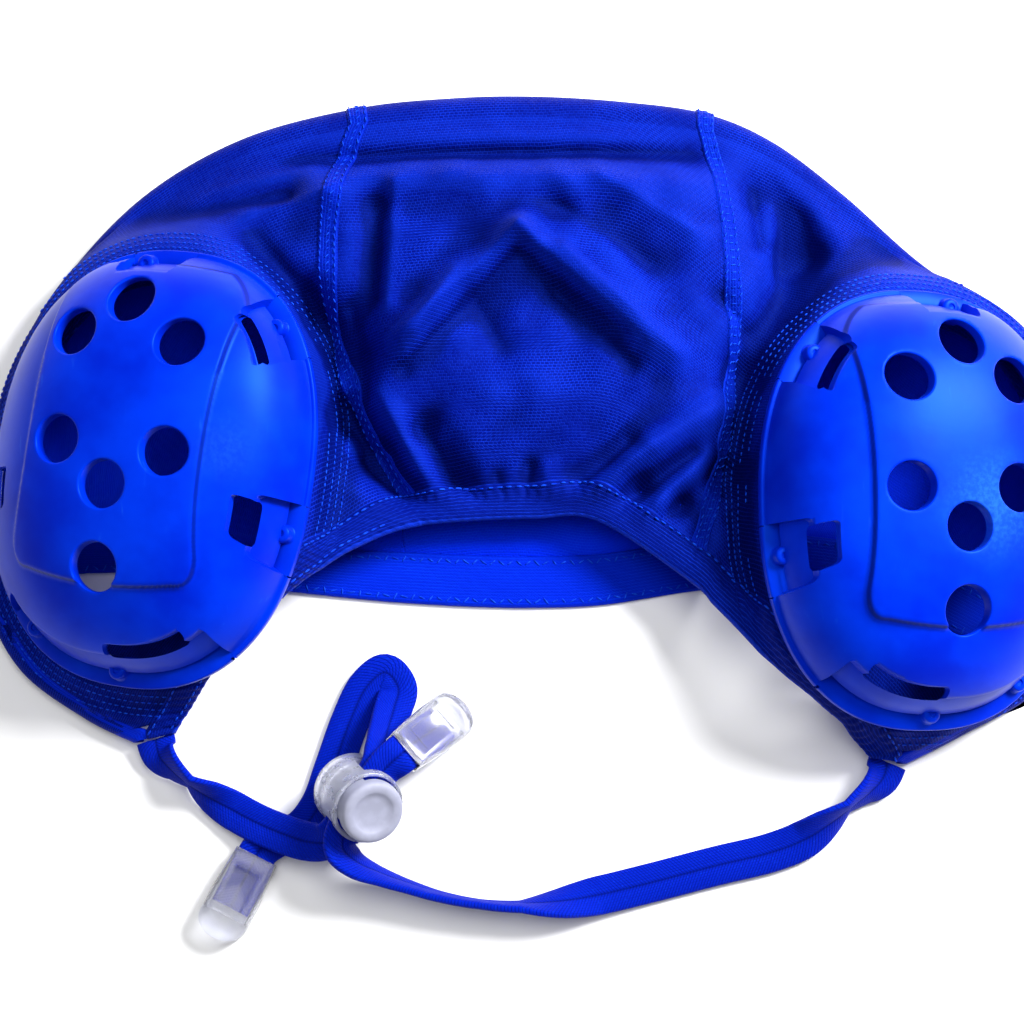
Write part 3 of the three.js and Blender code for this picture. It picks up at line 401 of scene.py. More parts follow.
def knit_material(name, base, line, cell=(1.1, 0.75), contrast=1.0, edge=0.0, fold_shade=False):
    """A fine swim knit: rows of short bricks with paler threads between them."""
    g = Graph(name)
    u, v = g.cloth_place()
    flat = g.join(u, v)
    wobble = g.noise(flat, 0.35, 2) * 0.8
    row = (v + wobble * 0.3) / cell[1]
    column = (u + wobble) / cell[0] + (row.floor() * 0.5).fract()
    across = abs(row.fract() - 0.5) * 2
    along = abs(column.fract() - 0.5) * 2
    thread = (across.smooth(0.6, 1.0) + along.smooth(0.7, 1.0) * 0.7).clamp()
    # A random lighter tone for each brick: painted glints of the knit.
    speck = g.grain(g.join(column.floor(), row.floor()))
    patch = g.noise(flat, 0.05, 4).smooth(0.3, 0.72)
    fine = g.noise(flat, 1.6, 2)
    tone = thread * (0.25 + patch * 0.75) * (0.35 + fine * 1.1) * contrast + speck * 0.10 * contrast
    colour = g.mix(tone.clamp(), base, line)
    # Painted highlight: a paler line near the hem's rolled edge.
    if edge:
        colour = g.mix((1 - abs(v - 0.2).smooth(edge * 0.4, edge)) * 0.6, colour, line)
    if fold_shade:
        # Painted shade: the base colour darkens in the fold hollows; painted highlight: it turns lighter on
        # the ridges.
        side = Number(g, g.node("ShaderNodeAttribute", attribute_name="fold_shade").outputs["Fac"])
        colour = g.mix((1 - side.smooth(0.15, 0.5)) * 0.5, colour, tuple(0.18 * c for c in base))
        colour = g.mix(side.smooth(0.5, 0.85) * 0.28, colour, tuple(0.8 * c for c in line))
    height = (1 - thread) + fine * 0.5
    return g.finish(Base_Color=colour, Roughness=0.66 - tone * 0.12, Normal=g.bump(height, 0.12, 0.7),
                    Specular_IOR_Level=0.12, Specular_Tint=CLOTH_SHEEN)


def thread_material(name, base, light):
    g = Graph(name)
    vector = g.place()
    twist = g.noise(vector, 1.1, 3)
    colour = g.mix(twist.smooth(0.3, 0.75), base, light)
    return g.finish(Base_Color=colour, Roughness=0.5 + twist * 0.25, Normal=g.bump(twist, 0.15, 0.6),
                    Specular_IOR_Level=0.15, Specular_Tint=CLOTH_SHEEN)


def tape_material():
    """A flat knitted tape: fine slanted loops on each side of a groove."""
    g = Graph("tape_knit")
    u, v = g.cloth_place()
    side = abs(v)
    chevron = abs(((u - side * 0.7) / 0.8).fract() - 0.5) * 2
    rib = abs((side / 0.62).fract() - 0.5) * 2
    gap = (chevron.smooth(0.6, 1.0) + rib.smooth(0.7, 1.0) * 0.6).clamp()
    groove = 1 - side.smooth(0.1, 0.6)
    speck = g.noise(g.join(u, v), 1.8, 3)
    colour = g.mix((gap * (0.3 + speck * 0.6)).clamp(), TAPE_BLUE, TAPE_DARK)
    # Lighter specks: painted glints of the knit.
    colour = g.mix((speck.smooth(0.55, 0.85) * 0.6).clamp(), colour, TAPE_LIGHT)
    # Painted shade: darker along the groove in the middle of the tape.
    colour = g.mix(groove * 0.6, colour, TAPE_DARK)
    return g.finish(Base_Color=colour, Roughness=0.62 + speck * 0.15, Specular_IOR_Level=0.15,
                    Specular_Tint=CLOTH_SHEEN,
                    Normal=g.bump((1 - gap) + speck * 0.4 - groove, 0.15, 0.8))


def guard_material():
    """Moulded glossy plastic with soft mottling, hazy worn patches, two spots of painted highlight and
    painted shade along the groove round its plate.
    """
    g = Graph("guard_plastic")
    vector = g.place()
    plate, _ = g.cloth_place()
    mottle = g.noise(vector, 0.045, 4, 0.55)
    fine = g.noise(vector, 0.9, 3, 0.6)
    stretched = g.node("ShaderNodeMapping", {"Vector": vector, "Scale": (1.0, 0.12, 1.0)}).outputs[0]
    streak = g.noise(stretched, 0.6, 3)
    wear_and_highlight = streak.smooth(0.62, 0.78) * mottle.smooth(0.5, 0.7) * 0.6
    # Painted highlights: paler, rougher spots at set places on the guards, added to the worn haze.
    for place, reach, much in HIGHLIGHT_SPOTS:
        away = g.node("ShaderNodeVectorMath", {0: vector, 1: place}, operation="DISTANCE").outputs["Value"]
        near = 1 - Number(g, away).smooth(0, reach)
        wear_and_highlight = wear_and_highlight + near * (0.35 + fine.smooth(0.35, 0.7) * 0.5) * much
    wear_and_highlight = wear_and_highlight.clamp()
    crease = 1 - abs(plate).smooth(0.1, 0.5)
    colour = g.mix(mottle.smooth(0.3, 0.7), GUARD_DARK, GUARD_BLUE)
    colour = g.mix(wear_and_highlight * 0.4, colour, GUARD_HAZE_AND_HIGHLIGHT)
    # Painted shade: the groove round the plate is darkened in the base colour.
    colour = g.mix(crease * 0.75, colour, GUARD_CREASE_SHADE)
    rough = 0.36 + mottle * 0.08 + wear_and_highlight * 0.15
    return g.finish(Base_Color=colour, Roughness=rough, Specular_IOR_Level=0.25,
                    Specular_Tint=GUARD_SHEEN,
                    Normal=g.bump(mottle * 0.6 + fine * 0.05 - crease * 0.3, 0.35, 0.5))


def clear_material(name, tint, transmission, rough):
    """Frosted clear plastic."""
    g = Graph(name)
    vector = g.place()
    cloud = g.noise(vector, 0.35, 3)
    fine = g.noise(vector, 2.5, 2)
    colour = g.mix(cloud.smooth(0.35, 0.7), tint, tuple(min(1.0, c * 1.12) for c in tint))
    return g.finish(Base_Color=colour, Roughness=rough + cloud * 0.12,
                    Normal=g.bump(cloud + fine * 0.1, 0.1, 0.2), IOR=1.46, Transmission_Weight=transmission)


def floor_material():
    g = Graph("floor_paper")
    tone = g.noise(g.place(), 0.02, 2)
    colour = g.mix(tone, (0.93, 0.93, 0.93), (0.96, 0.96, 0.96))
    return g.finish(Base_Color=colour, Roughness=0.85)


# ---------------------------------------------------------------- the cloth's surface
def smooth(value, low, high):
    share = np.clip((value - low) / (high - low), 0, 1)
    return share * share * (3 - 2 * share)


def mix(first, second, share):
    return first + (second - first) * share


class Section:
    """The cloth's section at each of many places along the table."""

    def __init__(self, row):
        row = np.asarray(row, float)
        i = np.clip(np.floor(row).astype(int), 0, LAST - 1)
        u = (row - i)[..., None]
        a, b, c, d = (SECTIONS[np.clip(i + k, 0, LAST)] for k in (-1, 0, 1, 2))
        u2, u3 = u * u, u * u * u
        value = (2 * u3 - 3 * u2 + 1) * b + (u3 - 2 * u2 + u) * (c - a) / 2
        value = value + (3 * u2 - 2 * u3) * c + (u3 - u2) * (d - b) / 2
        half = np.array((HALF_WIDTH, HALF_LENGTH))
        self.hem, fold, self.back = (value[..., k:k + 2] * half for k in (0, 2, 4))
        self.bow = value[..., 6] * SEAM_BOW
        self.hem_lift, self.mid_lift, self.radius = (value[..., k] * CLOTH_RISE for k in (7, 8, 9))
        self.outward = fold - self.hem
        self.outward /= np.linalg.norm(self.outward, axis=-1, keepdims=True)
        self.turn = fold - self.outward * self.radius[..., None]
        self.front = np.linalg.norm(self.turn - self.hem, axis=-1)
        self.round = math.pi * self.radius
        self.total = self.front + self.round + np.linalg.norm(self.turn - self.back, axis=-1)
        room = self.total + TIP_ROOM
        share = FRONT_HEM / (FRONT_HEM + BACK_HEM)
        self.front_hem = np.minimum(FRONT_HEM, room * share)
        self.back_hem = np.minimum(BACK_HEM, room * (1 - share))


class GuardFrame:
    """Where a guard's rim lies, and its own axes."""

    def __init__(self, name, side, x, y, lean):
        self.name, self.side = name, side
        tilt, pitch = math.radians(side * GUARD_TILT), math.radians(GUARD_PITCH)
        turn = Matrix.Rotation(tilt, 3, "Y") @ Matrix.Rotation(pitch, 3, "X")
        turn = turn @ Matrix.Rotation(math.radians(-lean), 3, "Z")
        self.turn = np.array(turn)
        self.middle = np.array((x * HALF_WIDTH, y * HALF_LENGTH, GUARD_CENTRE_Z))
        self.out = self.turn @ np.array((side, 0, 0))
        self.up = self.turn @ np.array((0, 1, 0))
        self.normal = self.turn @ np.array((0, 0, 1))

    def at(self, x, y):
        """Share of the rim, the rim plane's height and how much the place faces down the cloth."""
        m, n = self.middle, self.normal
        z = m[2] - ((x - m[0]) * n[0] + (y - m[1]) * n[1]) / n[2]
        offset = np.stack((x - m[0], y - m[1], z - m[2]), -1)
        u, v = offset @ self.out, offset @ self.up
        away = np.maximum(np.hypot(u, v), 1e-6)
        drop = np.maximum(smooth(-u / away, 0, 0.6), smooth(-v / away, 0.5, 0.9))
        return away / rim_radius(np.arctan2(v, u)), z, drop

    def world(self, points):
        return points @ self.turn.T + self.middle


def rim_radius(angle, inset=0.0):
    a, b, n = GUARD_WIDTH / 2 - inset, GUARD_LENGTH / 2 - inset, SQUARENESS
    return (np.abs(np.cos(angle) / a) ** n + np.abs(np.sin(angle) / b) ** n) ** (-1 / n)


GUARD_FRAMES = [GuardFrame(*row) for row in GUARDS]


def fold_height(fold, x, y, power=2):
    x1, y1 = fold[0] * HALF_WIDTH, fold[1] * HALF_LENGTH
    dx, dy = fold[2] * HALF_WIDTH - x1, fold[3] * HALF_LENGTH - y1
    along = np.clip(((x - x1) * dx + (y - y1) * dy) / (dx * dx + dy * dy), 0, 1)
    away = np.hypot(x - x1 - along * dx, y - y1 - along * dy) / (fold[5] * FOLD_REACH)
    return fold[4] * FOLD_DEPTH * np.exp(-away ** power)


ripple_random = np.random.default_rng(RIPPLE_SEED)
RIPPLES = [(math.tau / length, ripple_random.uniform(0, math.tau), ripple_random.uniform(0, math.tau),
            height)
           for length, height in RIPPLE_WAVES for _ in range(3)]


def ripple(x, y):
    """Small unevenness of limp cloth."""
    total = 0
    for wave, heading, phase, height in RIPPLES:
        total = total + height * np.sin((x * math.cos(heading) + y * math.sin(heading)) * wave + phase)
    return total * 0.5


def front_height(s, part, x, y):
    body = mix(s.hem_lift, s.mid_lift, smooth(part, 0, 0.35))
    folds = sum(fold_height(fold, x, y) for fold in FOLDS)
    fine = sum(fold_height(fold, x, y, CREASE_POWER) for fold in CREASES) * CREASE_SCALE + ripple(x, y)
    fine = fine * smooth(part, 0.02, 0.14) * (1 - smooth(part, 0.88, 1))
    edge = smooth(part, 0.78, 1)
    z = body + folds * smooth(part, 0, 0.12) + fine
    z = LOWEST_FRONT + np.logaddexp(0, (z - LOWEST_FRONT) * 1.5) / 1.5
    z = mix(z, 2 * s.radius, edge)
    band = 0
    for guard in GUARD_FRAMES:
        share, plane, drop = guard.at(x, y)
        seat = plane - GAP
        z = mix(seat, z, smooth(share, mix(0.98, 0.89, drop), mix(1.3, 1.12, drop)))
        z = np.where(share < 1.5, np.minimum(z, seat), z)
        away = (share - 1) * (GUARD_WIDTH + GUARD_LENGTH) / 4
        started = smooth(away, BAND_INNER - 0.6, BAND_INNER)
        band = band + started * (1 - smooth(away, BAND_OUTER - 0.7, BAND_OUTER))
    return z + band * BAND_RISE * smooth(part, 0.0, 0.05)


def cloth(row, distance):
    """Places on the cloth's outer face: across the front, round the fold and along the back."""
    s = Section(row)
    part = distance / s.front
    plan = s.hem + (s.turn - s.hem) * part[..., None]
    x = plan[..., 0] + s.bow * 4 * part * (1 - part)
    y = plan[..., 1]
    front = np.stack((x, y, front_height(s, part, x, y)), -1)
    angle = (distance - s.front) / s.radius
    plan = s.turn + s.outward * (s.radius * np.sin(angle))[..., None]
    rounded = np.concatenate((plan, (s.radius * (1 + np.cos(angle)))[..., None]), -1)
    part = (distance - s.front - s.round) / (s.total - s.front - s.round)
    plan = s.turn + (s.back - s.turn) * part[..., None]
    back = np.concatenate((plan, np.zeros(plan.shape[:-1] + (1,))), -1)
    on_front = (distance <= s.front)[..., None]
    on_round = (distance <= s.front + s.round)[..., None]
    return np.where(on_front, front, np.where(on_round, rounded, back))


def row_length(row, distance):
    step = 0.02
    return np.linalg.norm(cloth(row + step, distance) - cloth(row - step, distance), axis=-1) / (2 * step)


def cloth_frame(row, distance, step=0.4):
    """Places, outward normals and the directions along the rows."""
    row_step = step / row_length(row, distance)
    along = cloth(row + row_step, distance) - cloth(row - row_step, distance)
    across = cloth(row, distance + step) - cloth(row, distance - step)
    normal = np.cross(along, across)
    normal /= np.linalg.norm(normal, axis=-1, keepdims=True)
    along /= np.linalg.norm(along, axis=-1, keepdims=True)
    return cloth(row, distance), normal, along


# ---------------------------------------------------------------- making meshes
def grid_quads(rows, columns, offset=0, flip=False, wrap=False):
    """Quads of a grid of rows x columns points."""
    i = np.arange(rows - 1)[:, None]
    k = np.arange(columns if wrap else columns - 1)[None, :]
    k2 = (k + 1) % columns
    quad = np.stack(np.broadcast_arrays(i * columns + k, (i + 1) * columns + k, (i + 1) * columns + k2,
                                        i * columns + k2), -1).reshape(-1, 4) + offset
    return quad[:, ::-1] if flip else quad


def tube_faces(rings, sides, flip, end_forward):
    """Quads between rings of points, and a face on the first and the last ring."""
    first, last = list(range(sides)), list(range((rings - 1) * sides, rings * sides))
    ends = [first, last[::-1]] if end_forward else [first[::-1], last]
    return list(grid_quads(rings, sides, 0, flip, True)) + ends


def make_piece(name, points, faces, material, uv=None, smooth_faces=True, fold_shade=None):
    mesh = bpy.data.meshes.new(name)
    mesh.from_pydata((np.asarray(points) * MM).tolist(), [], [list(map(int, f)) for f in faces])
    if uv is not None:
        layer = mesh.uv_layers.new(name="cloth")
        corners = np.empty(len(mesh.loops), int)
        mesh.loops.foreach_get("vertex_index", corners)
        layer.data.foreach_set("uv", np.asarray(uv, float)[corners].ravel())
    if fold_shade is not None:
        layer = mesh.attributes.new("fold_shade", "FLOAT", "POINT")
        layer.data.foreach_set("value", np.asarray(fold_shade, float).ravel())
    mesh.validate()
    if smooth_faces:
        mesh.shade_smooth()
    mesh.materials.append(material)
    piece = bpy.data.objects.new(name, mesh)
    bpy.context.scene.collection.objects.link(piece)
    return piece


def blurred(values, reach):
    """Mean of a grid's values over a window of reach cells each way."""
    for axis in (0, 1):
        pad = [(reach, reach) if k == axis else (0, 0) for k in (0, 1)]
        total = np.cumsum(np.pad(values, pad, mode="edge"), axis)
        count = 2 * reach
        low, high = (np.take(total, np.arange(k, k + values.shape[axis]), axis) for k in (0, count))
        values = (high - low) / count
    return values


def relief_of(height):
    """Above 0.5 on ridges and below it in hollows, for small and for larger folds; the knit's painted shade
    and highlight follow it.
    """
    height = blurred(height, 1)
    small, large = (height - blurred(blurred(height, reach), reach)
                    for reach, _ in (RELIEF_SMALL, RELIEF_LARGE))
    return np.clip(0.5 + small * RELIEF_SMALL[1] + large * RELIEF_LARGE[1], 0, 1)


def along_rows(points, start):
    """Millimetres along each column of a grid from a starting row."""
    steps = np.linalg.norm(np.diff(points, axis=0), axis=-1)
    total = np.concatenate((np.zeros((1, points.shape[1])), np.cumsum(steps, 0)))
    return total - total[start]


def panel_distances(s):
    """Distances across a panel, crowded round the fold, from under one hem to under the other."""
    start, end = s.front_hem - HEM_LAP, s.total - s.back_hem + HEM_LAP
    stops = [(start, s.front, FRONT_STEPS), (s.front, s.front + s.round, ROUND_STEPS),
             (s.front + s.round, end, BACK_STEPS)]
    parts = [mix(a[:, None], b[:, None], np.linspace(0, 1, n + 1)[None, :]) for a, b, n in stops]
    return np.concatenate((parts[0], parts[1][:, 1:], parts[2][:, 1:]), 1)


def panel(name, rows, material, reverse, guard=None):
    rows = np.asarray(rows)
    s = Section(rows)
    distance = panel_distances(s)
    grid = np.broadcast_to(rows[:, None], distance.shape)
    outer, normal, _ = cloth_frame(grid, distance)
    seam = 0 if abs(rows[0] - 12) < abs(rows[-1] - 12) else len(rows) - 1
    uv = np.stack((along_rows(outer, seam), distance), -1)
    n, m = distance.shape
    # Ridges and hollows of the front, which the knit's painted fold shade follows.
    fold_shade = np.where(distance < s.front[:, None] - 1, relief_of(outer[..., 2]), 0.5)
    keep = np.ones((n - 1, m - 1), bool)
    if guard is not None:
        share, _, _ = guard.at(outer[..., 0], outer[..., 1])
        foot = (outer[..., :2] - guard.middle[:2]) @ guard.up[:2]
        limit = mix(EAR_SHARE, EAR_SHARE_AT_FOOT, smooth(-foot / (GUARD_LENGTH / 2), 0.35, 0.7))
        share = share / limit
        front = distance < s.front[:, None]
        middle = (share[1:, 1:] + share[:-1, 1:] + share[1:, :-1] + share[:-1, :-1]) / 4
        keep = ~((middle < 1) & front[1:, 1:] & front[:-1, :-1])
        border = np.zeros((n, m), bool)
        used = np.zeros((n, m), bool)
        for di in (0, 1):
            for dk in (0, 1):
                border[di:n - 1 + di, dk:m - 1 + dk] |= ~keep
                used[di:n - 1 + di, dk:m - 1 + dk] |= keep
        move = border & used & front
        centre = guard.middle[:2]
        plan = outer[move][:, :2]
        plan = centre + (plan - centre) / share[move][:, None]
        _, plane, _ = guard.at(plan[:, 0], plan[:, 1])
        outer[move] = np.concatenate((plan, (plane - GAP)[:, None]), -1)
        normal[move] = guard.normal
    inner = outer - normal * PANEL_WALL
    inner[..., 2] = np.maximum(inner[..., 2], FLOOR_GAP)
    outer[..., 2] = np.maximum(outer[..., 2], FLOOR_GAP)
    top = grid_quads(n, m).reshape(n - 1, m - 1, 4)[keep]
    bottom = grid_quads(n, m, n * m, True).reshape(n - 1, m - 1, 4)[keep]
    faces = list(top) + list(bottom) + list(walls(top, n * m))
    points = np.concatenate((outer.reshape(-1, 3), inner.reshape(-1, 3)))
    piece = make_piece(name, points, faces, material, np.concatenate((uv.reshape(-1, 2),) * 2),
                       fold_shade=np.concatenate((fold_shade, fold_shade)))
    piece.data.materials.append(reverse)
    count = len(top)
    index = np.zeros(len(piece.data.polygons), int)
    index[count:2 * count] = 1
    piece.data.polygons.foreach_set("material_index", index)
    quads = points[top]
    area = np.linalg.norm(np.cross(quads[:, 2] - quads[:, 0], quads[:, 3] - quads[:, 1]), axis=1).sum() / 2
    return piece, float(area) * MM * MM


def open_edges(quads):
    """Edges that only one quad has, in that quad's direction."""
    edges = set()
    for quad in quads.tolist():
        for a, b in zip(quad, quad[1:] + quad[:1]):
            if (b, a) in edges:
                edges.discard((b, a))
            else:
                edges.add((a, b))
    return edges


def walls(quads, offset):
    """Faces that join the open edges of one layer to the layer below it."""
    return [(b, a, a + offset, b + offset) for a, b in open_edges(quads)]


def band_profile(width, proud, wall, count=12):
    """The section of a hem or a seam, a flattened loop: offsets across it and along the normal."""
    half = (proud + wall) / 2
    middle = (proud - wall) / 2
    angle = np.linspace(0, math.pi, 7)
    top = np.stack((np.linspace(half, width - half, count), np.full(count, proud)), -1)
    right = np.stack((width - half + half * np.sin(angle), middle + half * np.cos(angle)), -1)[1:-1]
    bottom = np.stack((np.linspace(width - half, half, count), np.full(count, -wall)), -1)
    left = np.stack((half - half * np.sin(angle), middle - half * np.cos(angle)), -1)[1:-1]
    return np.concatenate((top, right, bottom, left))


def hem(name, rows, start, width, proud, full, gather, material):
    """A closed band along the rows. start and width are given for each row."""
    profile = band_profile(full, proud, HEM_WALL)
    across = profile[:, 0] / full
    distance = start[:, None] + width[:, None] * across[None, :]
    grid = np.broadcast_to(rows[:, None], distance.shape)
    place, normal, _ = cloth_frame(grid, distance)
    run = along_rows(place, 0)
    swell = 0.35 * np.sin(np.clip(across, 0, 1) * math.pi) ** 0.5 * (profile[:, 1] > 0)
    pucker = gather * np.sin(run * math.tau / 2.7 + 1.5 * np.sin(run / 9)) * (profile[:, 1] > 0)
    lift = profile[:, 1][None, :] + swell[None, :] + pucker
    points = place + normal * lift[..., None]
    points[..., 2] = np.maximum(points[..., 2], FLOOR_GAP)
    n, m = distance.shape
    v = np.broadcast_to((across * full)[None, :], (n, m))
    uv = np.stack((run, v), -1)
    faces = tube_faces(n, m, False, True)
    return make_piece(name, points.reshape(-1, 3), faces, material, uv.reshape(-1, 2))


def seam_band(name, row, material, width=5.2, proud=0.42, wall=0.4):
    """The lapped seam between two panels, a strip that runs from hem to hem."""
    s = Section(np.array([float(row)]))
    distance = np.linspace(float(s.front_hem[0]) - HEM_LAP, float((s.total - s.back_hem)[0]) + HEM_LAP, 260)
    profile = band_profile(width, proud, wall, 8)
    offset = profile[:, 0] - width / 2
    here = np.full(distance.shape, float(row))
    length = row_length(here, distance)
    rows = row + offset[None, :] / length[:, None]
    far = np.broadcast_to(distance[:, None], rows.shape)
    place, normal, _ = cloth_frame(rows, far)
    pucker = 0.10 * np.sin(far * math.tau / 3.1 + 2 * np.sin(far / 11)) * (profile[:, 1] > 0)
    points = place + normal * (profile[:, 1][None, :] + pucker)[..., None]
    points[..., 2] = np.maximum(points[..., 2], FLOOR_GAP)
    n, m = rows.shape
    faces = tube_faces(n, m, True, False)
    uv = np.stack((far, np.broadcast_to(offset[None, :] + 40, (n, m))), -1)
    return make_piece(name, points.reshape(-1, 3), faces, material, uv.reshape(-1, 2))


# ---------------------------------------------------------------- ear guards
def disc_grid(rings):
    """A square grid folded onto a disc, closer towards its edge: share and angle of each point."""
    side = np.linspace(-1, 1, 2 * rings + 1)
    a, b = np.meshgrid(side, side, indexing="ij")
    wide = np.abs(a) > np.abs(b)
    with np.errstate(divide="ignore", invalid="ignore"):
        angle = np.where(wide, math.pi / 4 * b / a, math.pi / 2 - math.pi / 4 * a / b)
    angle = np.where(np.isfinite(angle), angle, 0)
    radius = np.where(wide, a, b)
    return radius * (1.35 - 0.35 * radius * radius), angle


def dome_height(x, y, inset=0.0):
    """Height of a smooth dome over the rim's oval."""
    share = np.hypot(x, y) / rim_radius(np.arctan2(y, x), inset)
    rise = np.sqrt(np.clip(1 - (np.clip(share, 0, 1) / DOME_SHARE) ** 2.65, 0, 1))
    return rise * (GUARD_HEIGHT - inset)


def plate_outline():
    """The raised plate's outline, as in the CAD."""
    half, top, bottom = PLATE_HALF, PLATE_TOP, PLATE_BOTTOM
    curves = [((-0.8 * half, bottom), (0, bottom - 4), (0.8 * half, bottom)),
              ((0.8 * half, bottom), (half, bottom), (half, bottom + 7)),
              ((half, bottom + 7), (0.9 * half, 0), (half, top - 8)),
              ((half, top - 8), (0.9 * half, top - 3), (0.7 * half, top)),
              ((0.7 * half, top), (0, top + 1), (-0.7 * half, top)),
              ((-0.7 * half, top), (-0.9 * half, top - 3), (-half, top - 8)),
              ((-half, top - 8), (-0.9 * half, 0), (-half, bottom + 7)),
              ((-half, bottom + 7), (-half, bottom), (-0.8 * half, bottom))]
    t = np.linspace(0, 1, 12, endpoint=False)[:, None]
    return np.concatenate([(1 - t) ** 2 * np.array(a) + 2 * t * (1 - t) * np.array(b) + t * t * np.array(c)
                           for a, b, c in curves])


PLATE = plate_outline()


def inside_distance(x, y, outline):
    """Distance to a closed outline, below 0 inside it."""
    a = outline
    d = np.roll(outline, -1, 0) - a
    px, py = x[..., None] - a[:, 0], y[..., None] - a[:, 1]
    along = np.clip((px * d[:, 0] + py * d[:, 1]) / (d ** 2).sum(1), 0, 1)
    away = np.hypot(px - along * d[:, 0], py - along * d[:, 1]).min(-1)
    y2 = a[:, 1] + d[:, 1]
    crosses = (a[:, 1] > y[..., None]) != (y2 > y[..., None])
    safe = np.where(d[:, 1] == 0, 1, d[:, 1])
    at = a[:, 0] + (y[..., None] - a[:, 1]) * d[:, 0] / safe
    inside = (crosses & (x[..., None] < at)).sum(-1) % 2 == 1
    return np.where(inside, -away, away)


def box_distance(x, y, cut):
    """Distance to a rounded rectangle that is bent along the guard's rim."""
    middle, near, far, width, corner = cut
    angle = np.arctan2(y, x)
    u = np.hypot(x, y) - rim_radius(angle)
    v = (np.mod(angle - middle + math.pi, math.tau) - math.pi) * rim_radius(np.array(middle))
    dx = np.abs(u - (near + far) / 2) - (far - near) / 2 + corner
    dy = np.abs(v) - width / 2 + corner
    return np.hypot(np.maximum(dx, 0), np.maximum(dy, 0)) + np.minimum(np.maximum(dx, dy), 0) - corner


def push_out(x, y, distance_of, passes=3):
    """Moves points onto the line where a distance is 0."""
    step = 0.01
    for _ in range(passes):
        d = distance_of(x, y)
        gx = (distance_of(x + step, y) - distance_of(x - step, y)) / (2 * step)
        gy = (distance_of(x, y + step) - distance_of(x, y - step)) / (2 * step)
        size = np.maximum(gx * gx + gy * gy, 1e-9)
        x, y = x - d * gx / size, y - d * gy / size
    return x, y


